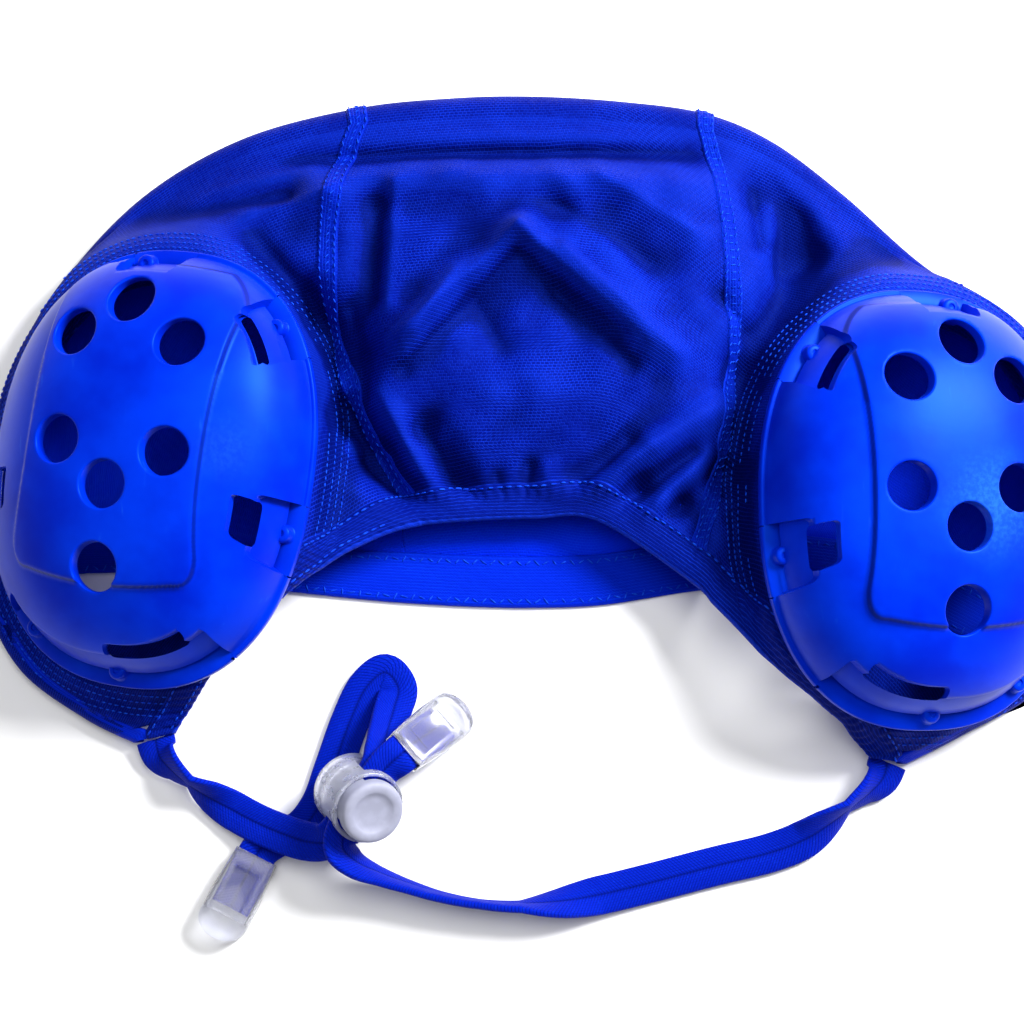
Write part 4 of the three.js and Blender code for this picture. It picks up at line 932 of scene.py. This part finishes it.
def guard_piece(guard, material):
    side = guard.side
    cuts, openings, pegs = [], [], []
    for angle, width, opening_angle, opening, reach in NOTCHES:
        turned = math.radians(angle if side < 0 else 180 - angle)
        cuts.append((turned, -NOTCH_DEPTH, 40, width, 1.6))
        if opening:
            turned = math.radians(opening_angle if side < 0 else 180 - opening_angle)
            openings.append((turned, -NOTCH_DEPTH - reach, 0.4 - NOTCH_DEPTH, opening, min(1.4, reach / 2)))
    for angle, shift in PEGS:
        turned = math.radians(angle if side < 0 else 180 - angle)
        pegs.append((turned, float(rim_radius(turned)) - NOTCH_DEPTH / 2, -side * shift))
    holes = [(side * out * GUARD_WIDTH / 2, up * GUARD_LENGTH / 2) for out, up in HOLES]

    def hole_distance(x, y, radius):
        return np.min([np.hypot(x - hx, y - hy) for hx, hy in holes], 0) - radius

    def notch_distance(x, y):
        return np.min([box_distance(x, y, cut) for cut in cuts], 0)

    def opening_distance(x, y):
        return np.min([box_distance(x, y, cut) for cut in openings], 0)

    def outer_height(x, y):
        height = dome_height(x, y)
        plate = inside_distance(x, y, PLATE)
        height = height + PLATE_RISE * (1 - smooth(plate, -0.45, 0.55))
        low, high = np.minimum(height, GUARD_FLANGE), np.maximum(height, GUARD_FLANGE)
        return high + 0.25 * np.exp(-(high - low) / 0.8)

    def floor_height(x, y):
        inward = (rim_radius(np.arctan2(y, x)) - np.hypot(x, y)) / (NOTCH_DEPTH / 2) - 1
        return GUARD_FLANGE + 0.7 * np.maximum(1 - inward ** 2, 0)

    def layer(rings, inset, height_of, hole_radius, floor):
        """Grid of one face, with holes, openings and the notches' floors cut out of it."""
        radius, angle = disc_grid(rings)
        away = np.abs(radius) * rim_radius(angle, inset)
        x = np.sign(radius) * np.cos(angle) * away
        y = np.sign(radius) * np.sin(angle) * away
        n = x.shape[0]
        quads = grid_quads(n, n)
        x, y = x.ravel(), y.ravel()
        sample = quads[len(quads) // 2 + n // 2]
        a, b, c = (np.array((x[corner], y[corner])) for corner in sample[:3])
        if np.cross(b - a, c - a) < 0:
            quads = quads[:, ::-1]
        distances = [lambda p, q: hole_distance(p, q, hole_radius), opening_distance]
        if floor:
            distances.append(notch_distance)
        kinds = np.zeros(len(quads), int)
        for kind, distance_of in enumerate(distances, 1):
            cx, cy = x[quads].mean(1), y[quads].mean(1)
            inside = (distance_of(cx, cy) < 0) & (kinds == 0)
            kinds[inside] = kind
            near = np.zeros(len(x), bool)
            near[quads[inside].ravel()] = True
            other = np.zeros(len(x), bool)
            other[quads[~inside].ravel()] = True
            edge = near & other
            x[edge], y[edge] = push_out(x[edge], y[edge], distance_of)
        return x, y, height_of(x, y), quads, kinds

    x, y, z, quads, kinds = layer(RINGS, 0, outer_height, HOLE_RADIUS + FILLET, True)
    points = [np.stack((x, y, z), -1)]
    faces = [quads[kinds == 0]]
    count = len(x)

    def add(new_points):
        nonlocal count
        points.append(np.asarray(new_points, float))
        count += len(new_points)
        return count - len(new_points)

    def skirt(edges, chain_of):
        """Rows of quads down from open edges: chain_of gives each point's places below it."""
        used = sorted({v for edge in edges for v in edge})
        order = {v: i for i, v in enumerate(used)}
        chain = chain_of(np.array(used))
        base = [add(step) for step in chain]
        new = []
        for a, b in edges:
            tops = [(a, b)] + [(first + order[a], first + order[b]) for first in base]
            new += [(p1, p0, q0, q1) for (p0, p1), (q0, q1) in zip(tops, tops[1:])]
        faces.append(np.array(new).reshape(-1, 4))
        return order, base

    edges = open_edges(quads[kinds == 0])
    rim = np.isclose(np.hypot(x, y), rim_radius(np.arctan2(y, x)), atol=1e-3)
    by_kind = {1: [], 2: [], 3: [], "rim": []}
    touching = {k: np.zeros(len(x), bool) for k in (1, 2, 3)}
    for k in touching:
        touching[k][quads[kinds == k].ravel()] = True
    for a, b in edges:
        for k in (1, 2, 3):
            if touching[k][a] and touching[k][b]:
                by_kind[k].append((a, b))
                break
        else:
            by_kind["rim"].append((a, b))

    def inner_height(px, py):
        return np.maximum(dome_height(px, py, GUARD_WALL), 0)

    def hole_chain(v):
        px, py, pz = x[v], y[v], z[v]
        which = np.argmin([np.hypot(px - hx, py - hy) for hx, hy in holes], 0)
        centre = np.array(holes)[which]
        heading = np.stack((px, py), -1) - centre
        heading /= np.linalg.norm(heading, axis=1, keepdims=True)
        steps = []
        for turn in (0.35, 0.75, 1.15, math.pi / 2):
            radius = HOLE_RADIUS + FILLET * (1 - math.sin(turn))
            place = centre + heading * radius
            steps.append(np.column_stack((place, pz - FILLET * (1 - math.cos(turn)))))
        place = centre + heading * HOLE_RADIUS
        low = np.minimum(inner_height(place[:, 0], place[:, 1]), pz - 1.2)
        steps.append(np.column_stack((place, low)))
        return steps

    def drop_chain(v):
        px, py, pz = x[v], y[v], z[v]
        low = np.maximum(pz - 2.2, 0.6)
        return [np.column_stack((px, py, np.maximum(pz - 0.25, low))), np.column_stack((px, py, low))]

    def notch_chain(v):
        px, py, pz = x[v], y[v], z[v]
        fall = np.maximum(pz - GUARD_FLANGE, 0)
        return [np.column_stack((px, py, GUARD_FLANGE + fall * share)) for share in (0.94, 0.5, 0.0)]

    def rim_chain(v):
        px, py, pz = x[v], y[v], z[v]
        away = np.hypot(px, py)
        steps = []
        for inset, height in ((-0.28, -0.12), (-0.4, -0.45), (-0.4, -1.3), (-0.25, -2.2), (0.2, -2.6),
                              (4.5, -2.6)):
            scale = (away - inset) / away
            steps.append(np.column_stack((px * scale, py * scale, GUARD_FLANGE + height + 0 * pz)))
        return steps

    skirt(by_kind[1], hole_chain)
    skirt(by_kind[2], drop_chain)
    skirt(by_kind[3], notch_chain)
    floor_quads = quads[kinds == 3]
    used = np.unique(floor_quads)
    table = np.zeros(len(x), int)
    first = add(np.column_stack((x[used], y[used], floor_height(x[used], y[used]))))
    table[used] = first + np.arange(len(used))
    faces.append(table[floor_quads])
    floor_rim = [(a, b) for a, b in open_edges(floor_quads) if rim[a] and rim[b]]
    skirt(by_kind["rim"] + floor_rim, rim_chain)

    ix, iy, iz, inner_quads, inner_kinds = layer(INNER_RINGS, GUARD_WALL, inner_height, HOLE_RADIUS, False)
    first = add(np.column_stack((ix, iy, iz)))
    share = np.hypot(ix, iy) / rim_radius(np.arctan2(iy, ix), GUARD_WALL)
    ringed = share[inner_quads].mean(1) < 0.97
    faces.append((inner_quads[(inner_kinds == 0) & ringed][:, ::-1]) + first)

    for turned, away, shift in pegs:
        direction = np.array((math.cos(turned), math.sin(turned)))
        aside = np.array((-direction[1], direction[0]))
        centre = direction * away + aside * shift
        around = np.linspace(0, math.tau, PEG_SIDES, endpoint=False)
        rings = []
        for radius, height in ((PEG_RADIUS + 0.4, 0.5), (PEG_RADIUS + 0.08, 0.8), (PEG_RADIUS, 1.1),
                               (PEG_RADIUS, PEG_HEIGHT - 0.7), (PEG_RADIUS - 0.2, PEG_HEIGHT - 0.2),
                               (PEG_RADIUS - 0.75, PEG_HEIGHT), (0.9, PEG_HEIGHT),
                               (0.75, PEG_HEIGHT - 0.4), (0.05, PEG_HEIGHT - 0.5)):
            rings.append(np.column_stack((centre[0] + radius * np.cos(around),
                                          centre[1] + radius * np.sin(around),
                                          np.full(PEG_SIDES, GUARD_FLANGE + height))))
        start = add(np.concatenate(rings))
        faces.append(grid_quads(len(rings), PEG_SIDES, start, True, True))
    points = np.concatenate(points)
    uv = np.full((len(points), 2), 20.0)
    uv[:len(x), 0] = inside_distance(x, y, PLATE)
    piece = make_piece("ear_guard_" + guard.name, guard.world(points), np.concatenate(faces), material, uv)
    piece.data.set_sharp_from_angle(angle=math.radians(GUARD_SHARP))
    return piece


# ---------------------------------------------------------------- chin tape, lock and ends
def route_points(route, spacing=0.6):
    """Centripetal Catmull-Rom course through a route, with its directions and rolled faces."""
    places = [Vector(row[:3]) for row in route]
    rolls = [row[3] for row in route]
    out = []
    count = len(places) - 1
    for i in range(count):
        p1, p2 = places[i], places[i + 1]
        p0 = places[i - 1] if i else p1 * 2 - p2
        p3 = places[i + 2] if i + 2 <= count else p2 * 2 - p1
        d0, d1, d2 = (max((b - a).length_squared ** 0.25, 1e-4) for a, b in ((p0, p1), (p1, p2), (p2, p3)))
        t1 = (p1 - p0) / d0 - (p2 - p0) / (d0 + d1) + (p2 - p1) / d1
        t2 = (p2 - p1) / d1 - (p3 - p1) / (d1 + d2) + (p3 - p2) / d2
        t1, t2 = t1 * d1, t2 * d1
        steps = max(2, round((p2 - p1).length / spacing))
        for k in range(steps + (1 if i == count - 1 else 0)):
            u = k / steps
            square, cube = p2 * 3 - p1 * 3 - t1 * 2 - t2, p1 * 2 - p2 * 2 + t1 + t2
            place = p1 + t1 * u + square * u ** 2 + cube * u ** 3
            way = t1 + square * 2 * u + cube * 3 * u ** 2
            out.append((place, way.normalized(), math.radians(mix(rolls[i], rolls[i + 1], u))))
    return out


def tape_section():
    """The flat knitted tube: rounded edges and a groove along the middle of both faces."""
    half, thick = TAPE_WIDTH / 2, TAPE_THICK / 2
    turns = np.linspace(0, math.tau, 44, endpoint=False)
    across = np.sign(np.cos(turns)) * np.abs(np.cos(turns)) ** 0.62 * half
    up = np.sign(np.sin(turns)) * np.abs(np.sin(turns)) ** 0.55 * thick
    up = up * (1 - 0.34 * np.exp(-(across / 0.75) ** 2))
    return across, up


def tape_piece(name, route, material):
    course = route_points(route)
    across, up = tape_section()
    rings, run = [], 0.0
    uv, last = [], None
    for place, way, roll in course:
        face = Vector((0, 0, 1))
        face = (face - way * way.z).normalized()
        face = Quaternion(way, roll) @ face
        side = way.cross(face)
        run += (place - last).length if last else 0
        last = place
        rings.append([place + side * float(a) + face * float(u) for a, u in zip(across, up)])
        uv.append([(run, float(a)) for a in across])
    points = np.array([[tuple(p) for p in ring] for ring in rings])
    n, m = points.shape[:2]
    faces = tube_faces(n, m, False, False)
    piece = make_piece(name, points.reshape(-1, 3), faces, material, np.array(uv).reshape(-1, 2))
    return piece, [tuple(p * MM) for p, _, _ in course], run * MM


def basis(x, y, z, origin):
    matrix = Matrix((x, y, z)).transposed().to_4x4()
    matrix.translation = origin
    return matrix


LOCK_X = (LOCK_WAY - LOCK_AXIS * LOCK_WAY.dot(LOCK_AXIS)).normalized()
LOCK_MATRIX = basis(LOCK_X, LOCK_AXIS.cross(LOCK_X), LOCK_AXIS, LOCK_BASE)
CHANNEL_TALL = 2 * TAPE_THICK + 3 * TAPE_CLEARANCE
CHANNEL_WIDE = TAPE_WIDTH + 2 * TAPE_CLEARANCE


def lathe(profile, sides=72):
    """Points and quads of a closed profile turned about Z."""
    around = np.linspace(0, math.tau, sides, endpoint=False)
    points = np.array([[(r * math.cos(a), r * math.sin(a), h) for a in around] for r, h in profile])
    return points.reshape(-1, 3), tube_faces(len(profile), sides, True, True)


def box_mesh(low, high):
    x0, y0, z0 = low
    x1, y1, z1 = high
    points = [(x, y, z) for z in (z0, z1) for x, y in ((x0, y0), (x1, y0), (x1, y1), (x0, y1))]
    return points, [(0, 3, 2, 1), (4, 5, 6, 7), (0, 1, 5, 4), (1, 2, 6, 5), (2, 3, 7, 6), (3, 0, 4, 7)]


def carve(name, points, faces, boxes, matrix, material):
    """A solid with boxes cut out of it, its new edges rounded, put in place by a matrix."""
    rough = make_piece(name + "_rough", points, faces, material, smooth_faces=False)
    cutters = []
    for low, high in boxes:
        cutter = make_piece("cutter", *box_mesh(low, high), material, smooth_faces=False)
        modifier = rough.modifiers.new("cut", "BOOLEAN")
        modifier.operation, modifier.object, modifier.solver = "DIFFERENCE", cutter, "EXACT"
        cutters.append(cutter)
    bevel = rough.modifiers.new("edge", "BEVEL")
    bevel.width, bevel.segments, bevel.limit_method = 0.25 * MM, 2, "ANGLE"
    bevel.angle_limit = math.radians(35)
    bpy.context.view_layer.update()
    mesh = bpy.data.meshes.new_from_object(rough.evaluated_get(bpy.context.evaluated_depsgraph_get()))
    mesh.name = name
    place = matrix.copy()
    place.translation = place.translation * MM
    mesh.transform(place)
    mesh.shade_smooth()
    mesh.set_sharp_from_angle(angle=math.radians(40))
    piece = bpy.data.objects.new(name, mesh)
    bpy.context.scene.collection.objects.link(piece)
    for item in [rough] + cutters:
        bpy.data.objects.remove(item)
    return piece


def lock_pieces(body_material, button_material):
    r, bore = LOCK_RADIUS, BUTTON_RADIUS + GAP
    wall = [(0.01, 0), (r - 1.2, 0), (r - 0.35, 0.25), (r, 0.9), (r, 4.2), (r - 0.25, 4.5),
            (r - 0.25, 5.2), (r, 5.5), (r, LOCK_LENGTH - 0.8), (r - 0.2, LOCK_LENGTH - 0.2),
            (r - 0.55, LOCK_LENGTH), (bore + 0.15, LOCK_LENGTH), (bore, LOCK_LENGTH - 0.2),
            (bore, LOCK_FLOOR), (0.01, LOCK_FLOOR)]
    low, high = CHANNEL_HEIGHT - CHANNEL_TALL / 2, CHANNEL_HEIGHT + CHANNEL_TALL / 2
    cut = ((-2 * r, -CHANNEL_WIDE / 2, low), (2 * r, CHANNEL_WIDE / 2, high))
    points, faces = lathe(wall)
    body = carve("lock_shell", points, faces, [cut], LOCK_MATRIX, body_material)
    r, top = BUTTON_RADIUS, LOCK_LENGTH + BUTTON_PROUD
    base = LOCK_FLOOR + BUTTON_TRAVEL + GAP
    wall = [(0.01, base), (r, base), (r, top - 1.1), (r - 0.2, top - 0.5), (r - 0.6, top - 0.15),
            (r - 1.3, top), (r - 2.2, top), (r - 2.8, top - 0.25), (r - 3.3, top - 0.6),
            (r - 4.5, top - 0.78), (0.01, top - 0.8)]
    points, faces = lathe(wall)
    cut = ((-2 * r, -CHANNEL_WIDE / 2, low), (2 * r, CHANNEL_WIDE / 2, high + BUTTON_TRAVEL))
    button = carve("lock_plunger", points, faces, [cut], LOCK_MATRIX, button_material)
    return body, button


def end_piece(name, mouth, tip, material):
    mouth, tip = Vector(mouth), Vector(tip)
    along = (tip - mouth).normalized()
    across = Vector((0, 0, 1)).cross(along).normalized()
    matrix = basis(along, across, along.cross(across), mouth)
    half, length = END_WIDTH / 2, END_LENGTH
    turns = np.linspace(-math.pi / 2, math.pi / 2, 17)
    tip_points = [(length - half * 0.75 + half * 0.75 * math.cos(a), half * math.sin(a)) for a in turns]
    outline = [(0, -half * 0.86), (length * 0.25, -half * 0.94), (length * 0.5, -half)] + tip_points
    outline += [(length * 0.5, half), (length * 0.25, half * 0.94), (0, half * 0.86)]
    outline = np.array(outline)
    centre = np.array((length / 2, 0))
    rings = []
    tall = END_THICK / 2
    for inset, height in ((1.2, -tall), (0.45, -tall + 0.2), (0, -tall + 0.9), (0, tall - 0.9),
                          (0.45, tall - 0.2), (1.2, tall)):
        size = np.array((length / 2, half))
        ring = centre + (outline - centre) * (1 - inset / size)
        rings.append(np.column_stack((ring, np.full(len(ring), height))))
    m = len(outline)
    faces = tube_faces(len(rings), m, True, False)
    wide, thick = TAPE_WIDTH / 2 + GAP, TAPE_THICK / 2 + GAP
    pocket = ((-1, -wide, -thick), (END_POCKET, wide, thick))
    window = ((END_WINDOW_START, -END_WINDOW_HALF, END_THICK / 2 - END_WINDOW_DEPTH),
              (END_WINDOW_STOP, END_WINDOW_HALF, END_THICK))
    return carve(name, np.concatenate(rings), faces, [pocket, window], matrix, material)


# ---------------------------------------------------------------- stitches
def stitch_group(material):
    """Geometry nodes that put a small stretched bead on every point, along its own direction."""
    tree = bpy.data.node_groups.new("stitches", "GeometryNodeTree")
    face = tree.interface
    face.new_socket("Geometry", in_out="INPUT", socket_type="NodeSocketGeometry")
    face.new_socket("Length", in_out="INPUT", socket_type="NodeSocketFloat")
    face.new_socket("Width", in_out="INPUT", socket_type="NodeSocketFloat")
    face.new_socket("Geometry", in_out="OUTPUT", socket_type="NodeSocketGeometry")
    new = tree.nodes.new
    link = tree.links.new
    source, result = new("NodeGroupInput"), new("NodeGroupOutput")
    bead = new("GeometryNodeMeshUVSphere")
    bead.inputs["Segments"].default_value = 8
    bead.inputs["Rings"].default_value = 5
    bead.inputs["Radius"].default_value = 0.5
    along, up = new("GeometryNodeInputNamedAttribute"), new("GeometryNodeInputNamedAttribute")
    for node, name in ((along, "along"), (up, "up")):
        node.data_type = "FLOAT_VECTOR"
        node.inputs["Name"].default_value = name
    axes = new("FunctionNodeAxesToRotation")
    axes.primary_axis, axes.secondary_axis = "X", "Z"
    link(along.outputs[0], axes.inputs[0])
    link(up.outputs[0], axes.inputs[1])
    jitter = new("FunctionNodeRandomValue")
    jitter.data_type = "FLOAT"
    jitter.inputs[2].default_value = 0.8
    jitter.inputs[3].default_value = 1.15
    jitter.inputs["Seed"].default_value = 5
    stretch = new("ShaderNodeMath")
    stretch.operation = "MULTIPLY"
    link(source.outputs["Length"], stretch.inputs[0])
    link(jitter.outputs[1], stretch.inputs[1])
    size = new("ShaderNodeCombineXYZ")
    link(stretch.outputs[0], size.inputs[0])
    link(source.outputs["Width"], size.inputs[1])
    link(source.outputs["Width"], size.inputs[2])
    spread = new("GeometryNodeInstanceOnPoints")
    link(source.outputs["Geometry"], spread.inputs["Points"])
    link(bead.outputs["Mesh"], spread.inputs["Instance"])
    link(axes.outputs[0], spread.inputs["Rotation"])
    link(size.outputs[0], spread.inputs["Scale"])
    solid, paint = new("GeometryNodeRealizeInstances"), new("GeometryNodeSetMaterial")
    paint.inputs["Material"].default_value = material
    link(spread.outputs[0], solid.inputs[0])
    link(solid.outputs[0], paint.inputs["Geometry"])
    link(paint.outputs[0], result.inputs[0])
    return tree


def stitches(name, group, places, along, up, length, width):
    """Stitches in millimetres at the given places, as one plain mesh."""
    mesh = bpy.data.meshes.new(name + "_points")
    mesh.from_pydata((np.asarray(places) * MM).tolist(), [], [])
    for label, vectors in (("along", along), ("up", up)):
        layer = mesh.attributes.new(label, "FLOAT_VECTOR", "POINT")
        layer.data.foreach_set("vector", np.asarray(vectors, float).ravel())
    source = bpy.data.objects.new(name + "_points", mesh)
    bpy.context.scene.collection.objects.link(source)
    modifier = source.modifiers.new("stitches", "NODES")
    modifier.node_group = group
    inputs = {item.name: item.identifier for item in group.interface.items_tree if item.in_out == "INPUT"}
    modifier[inputs["Length"]] = length * MM
    modifier[inputs["Width"]] = width * MM
    bpy.context.view_layer.update()
    result = bpy.data.meshes.new_from_object(source.evaluated_get(bpy.context.evaluated_depsgraph_get()))
    result.name = name
    result.shade_smooth()
    piece = bpy.data.objects.new(name, result)
    bpy.context.scene.collection.objects.link(piece)
    bpy.data.objects.remove(source)
    return piece


def evenly(rows, distance, spacing):
    """Rows at an even spacing in millimetres along a line of the cloth."""
    points = cloth(rows, distance)
    run = np.concatenate(([0], np.cumsum(np.linalg.norm(np.diff(points, axis=0), axis=-1))))
    stops = np.arange(spacing / 2, run[-1], spacing)
    return np.interp(stops, run, rows), np.interp(stops, run, distance)


def line_stitches(rows, distance, spacing, lift, slant=0.0, inside=False, wall=0.0):
    """Places and directions of a row of stitches. slant turns every other one about the normal."""
    r, d = evenly(rows, distance, spacing)
    place, normal, along = cloth_frame(r, d)
    if inside:
        normal = -normal
    if np.any(slant):
        turn = np.where(np.arange(len(r)) % 2 == 0, slant, -slant)[:, None]
        aside = np.cross(normal, along)
        along = along * np.cos(turn) + aside * np.sin(turn)
    return place + normal * (lift + wall), along, normal


def join_lines(lines):
    return [np.concatenate(parts) for parts in zip(*lines)]


# ---------------------------------------------------------------- build
add_camera()

TAPE_KNIT = tape_material()
tape_left, path_left, length_left = tape_piece("chin_tape_left", TAPE_LEFT, TAPE_KNIT)
tape_right, path_right, length_right = tape_piece("chin_tape_right", TAPE_RIGHT, TAPE_KNIT)
FROSTED = clear_material("lock_plastic", (0.80, 0.82, 0.95), 0.88, 0.22)
BUTTON_PLASTIC = clear_material("button_plastic", (0.30, 0.31, 0.41), 0.12, 0.55)
END_PLASTIC = clear_material("end_plastic", (0.84, 0.85, 0.93), 0.93, 0.16)
lock_shell, lock_plunger = lock_pieces(FROSTED, BUTTON_PLASTIC)
ends = [end_piece("tape_end_" + name, mouth, tip, END_PLASTIC) for name, mouth, tip in TAPE_ENDS]

CLOTH = knit_material("cap_knit", (0.0004, 0.0025, 0.145), (0.004, 0.030, 0.56), fold_shade=True)
# The inner faces are much lighter than the outer knit: partly the knit's reverse side, partly painted light
# that lifts them where the front layer shades them.
REVERSE_PAINTED_LIGHT = knit_material("cap_knit_reverse_painted_light", (0.0008, 0.018, 0.75), (0.003, 0.05, 0.9), (0.9, 0.7), 0.6)
HEM = knit_material("hem_knit", (0.0004, 0.0025, 0.13), (0.004, 0.030, 0.52), (0.85, 0.8), 0.9, 0.7)
# The back hem is lighter than the front hem: partly the knit's reverse side, partly painted light that lifts
# it where the front layer shades it.
BACK_HEM_PAINTED_LIGHT = knit_material("hem_knit_reverse_painted_light", (0.0004, 0.011, 0.44), (0.002, 0.04, 0.75), (0.8, 0.8), 0.7)
SEAM = knit_material("seam_knit", (0.0005, 0.006, 0.26), (0.004, 0.04, 0.65), (0.8, 0.8), 0.9)
THREAD = thread_material("thread", (0.002, 0.02, 0.42), (0.009, 0.08, 0.75))
GUARD_PLASTIC = guard_material()

centre, centre_area = panel("cloth_centre", np.linspace(SEAM_ROWS[0], SEAM_ROWS[1], 150), CLOTH, REVERSE_PAINTED_LIGHT)


def panel_end(near, far):
    """The row where the two hems leave room for a panel between them."""
    for _ in range(30):
        middle = (near + far) / 2
        if float(Section(np.array([middle])).total[0]) < FRONT_HEM + BACK_HEM + PANEL_ROOM:
            near = middle
        else:
            far = middle
    return far


left_end, right_end = panel_end(0, 4), panel_end(LAST, LAST - 4)
left, left_area = panel("cloth_side_left", np.linspace(left_end, SEAM_ROWS[0], 170), CLOTH, REVERSE_PAINTED_LIGHT,
                        GUARD_FRAMES[0])
right, right_area = panel("cloth_side_right", np.linspace(SEAM_ROWS[1], right_end, 170), CLOTH, REVERSE_PAINTED_LIGHT,
                          GUARD_FRAMES[1])

hem_rows = np.linspace(0, LAST, 760)
s = Section(hem_rows)
front_hem = hem("hem_front", hem_rows, 0 * s.front_hem, s.front_hem, FRONT_HEM_PROUD, FRONT_HEM,
                FRONT_HEM_GATHER, HEM)
back_hem = hem("hem_back", hem_rows, s.total - s.back_hem, s.back_hem, 0.0, BACK_HEM, 0.0, BACK_HEM_PAINTED_LIGHT)
seams = [seam_band("seam_" + name, row, SEAM) for name, row in zip(("left", "right"), SEAM_ROWS)]

GROUP = stitch_group(THREAD)
lines = []
for first, last, count, share, lift in ((0.1, LAST - 0.1, 900, 0.88, 0.75), (0.2, 7, 300, 0.25, 0.7)):
    rows = np.linspace(first, last, count)
    lines.append(line_stitches(rows, Section(rows).front_hem * share, HEM_STEP, lift))
stitch_front = stitches("stitches_hem_front", GROUP, *join_lines(lines), *HEM_STITCH)

back_rows = np.linspace(4.5, 19.5, 600)
sb = Section(back_rows)
lines = [line_stitches(back_rows, sb.total - sb.back_hem * share, BACK_STEP, 0.1, 0.7, True, HEM_WALL)
         for share in (0.12, 0.86)]
stitch_back = stitches("stitches_hem_back", GROUP, *join_lines(lines), *BACK_STITCH)

seam_stitches = []
for name, row in zip(("left", "right"), SEAM_ROWS):
    sr = Section(np.array([float(row)]))
    reach = np.arange(float(sr.front_hem[0]) + 1, float(sr.front[0]) + 6, SEAM_STEP)
    lines = []
    for offset in SEAM_LINES:
        length = row_length(np.full(reach.shape, float(row)), reach)
        place, normal, side = cloth_frame(row + offset / length, reach)
        course = np.cross(normal, side)
        lines.append((place + normal * 0.62, course, normal))
    place, normal, side = cloth_frame(np.full(reach.shape, float(row)), reach + 0.9)
    lines.append((place + normal * 0.5, side * 0.8 + np.cross(normal, side) * 0.6, normal))
    seam_stitches.append(stitches("stitches_seam_" + name, GROUP, *join_lines(lines), *SEAM_STITCH))

band_stitches = []
trees = {"left": (left, centre), "right": (right, centre)}
for guard in GUARD_FRAMES:
    hits = []
    surfaces = [BVHTree.FromObject(piece, bpy.context.evaluated_depsgraph_get())
                for piece in trees[guard.name]]
    for offset in EAR_LINES:
        around = np.linspace(0, math.tau, 2000)
        line = np.stack((np.cos(around), np.sin(around)), -1) * (rim_radius(around) + offset)[:, None]
        world = guard.world(np.column_stack((line, np.zeros(len(line)))))
        run = np.concatenate(([0], np.cumsum(np.linalg.norm(np.diff(world, axis=0), axis=-1))))
        stops = np.interp(np.arange(0, run[-1], EAR_STEP), run, np.arange(len(run)))
        for stop in stops:
            k = int(stop)
            k2 = (k + 3) % (len(world) - 1)
            start = Vector(world[k]) * MM + Vector((0, 0, 0.06))
            found = [tree.ray_cast(start, Vector((0, 0, -1))) for tree in surfaces]
            found = [f for f in found if f[0] is not None and f[0].z > 2 * MM and f[1].z > 0.25]
            if found:
                spot, facing = max(found, key=lambda f: f[0].z)[:2]
                hits.append((tuple(spot / MM + facing * 0.12), tuple(world[k2] - world[k]), tuple(facing)))
    columns = (np.array(column) for column in zip(*hits))
    band_stitches.append(stitches("stitches_ear_" + guard.name, GROUP, *columns, *EAR_STITCH))

guards = [guard_piece(guard, GUARD_PLASTIC) for guard in GUARD_FRAMES]

# ---------------------------------------------------------------- what each piece stands for
for piece, nodes, slot in (
        (centre, ["centre_panel"], "cloth"), (left, ["side_panel_left"], "cloth"),
        (right, ["side_panel_right"], "cloth"), (front_hem, ["front_hem"], "hem_cloth"),
        (back_hem, ["back_hem"], "hem_cloth"), (seams[0], [], "hem_cloth"), (seams[1], [], "hem_cloth"),
        (stitch_front, [], "hem_cloth"), (stitch_back, [], "hem_cloth"), (seam_stitches[0], [], "hem_cloth"),
        (seam_stitches[1], [], "hem_cloth"), (band_stitches[0], [], "cloth"), (band_stitches[1], [], "cloth"),
        (guards[0], ["guard_left"], "guard_plastic"), (guards[1], ["guard_right"], "guard_plastic"),
        (tape_left, ["tape_left"], "tape_cloth"), (tape_right, ["tape_right"], "tape_cloth"),
        (lock_shell, ["lock_body"], "clear_plastic"), (ends[0], ["cord_end_a"], "clear_plastic"),
        (ends[1], ["cord_end_b"], "clear_plastic")):
    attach(piece, "cap")
    if nodes:
        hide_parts(*nodes)
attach(lock_plunger, "button")
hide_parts("lock_button")

for tape, route, length, path, pieces in (
        (tape_left, TAPE_LEFT, length_left, path_left, [ends[0], lock_shell]),
        (tape_right, TAPE_RIGHT, length_right, path_right, [ends[1], lock_plunger])):
    tuple(v * MM for v in route[0][:3])


# ---------------------------------------------------------------- floor and light
floor_corners = [(x * FLOOR_HALF, y * FLOOR_HALF, 0) for x, y in ((-1, -1), (1, -1), (1, 1), (-1, 1))]
floor = make_piece("floor", floor_corners, [(0, 1, 2, 3)], floor_material(), smooth_faces=False)
for light_row in LIGHTS:
    add_light(*light_row)
world = bpy.data.worlds.new("studio")
world.use_nodes = True
background = world.node_tree.nodes["Background"]
background.inputs["Color"].default_value = (1, 1, 1, 1)
background.inputs["Strength"].default_value = WORLD_STRENGTH
bpy.context.scene.world = world
bpy.context.scene.view_settings.view_transform = "Standard"
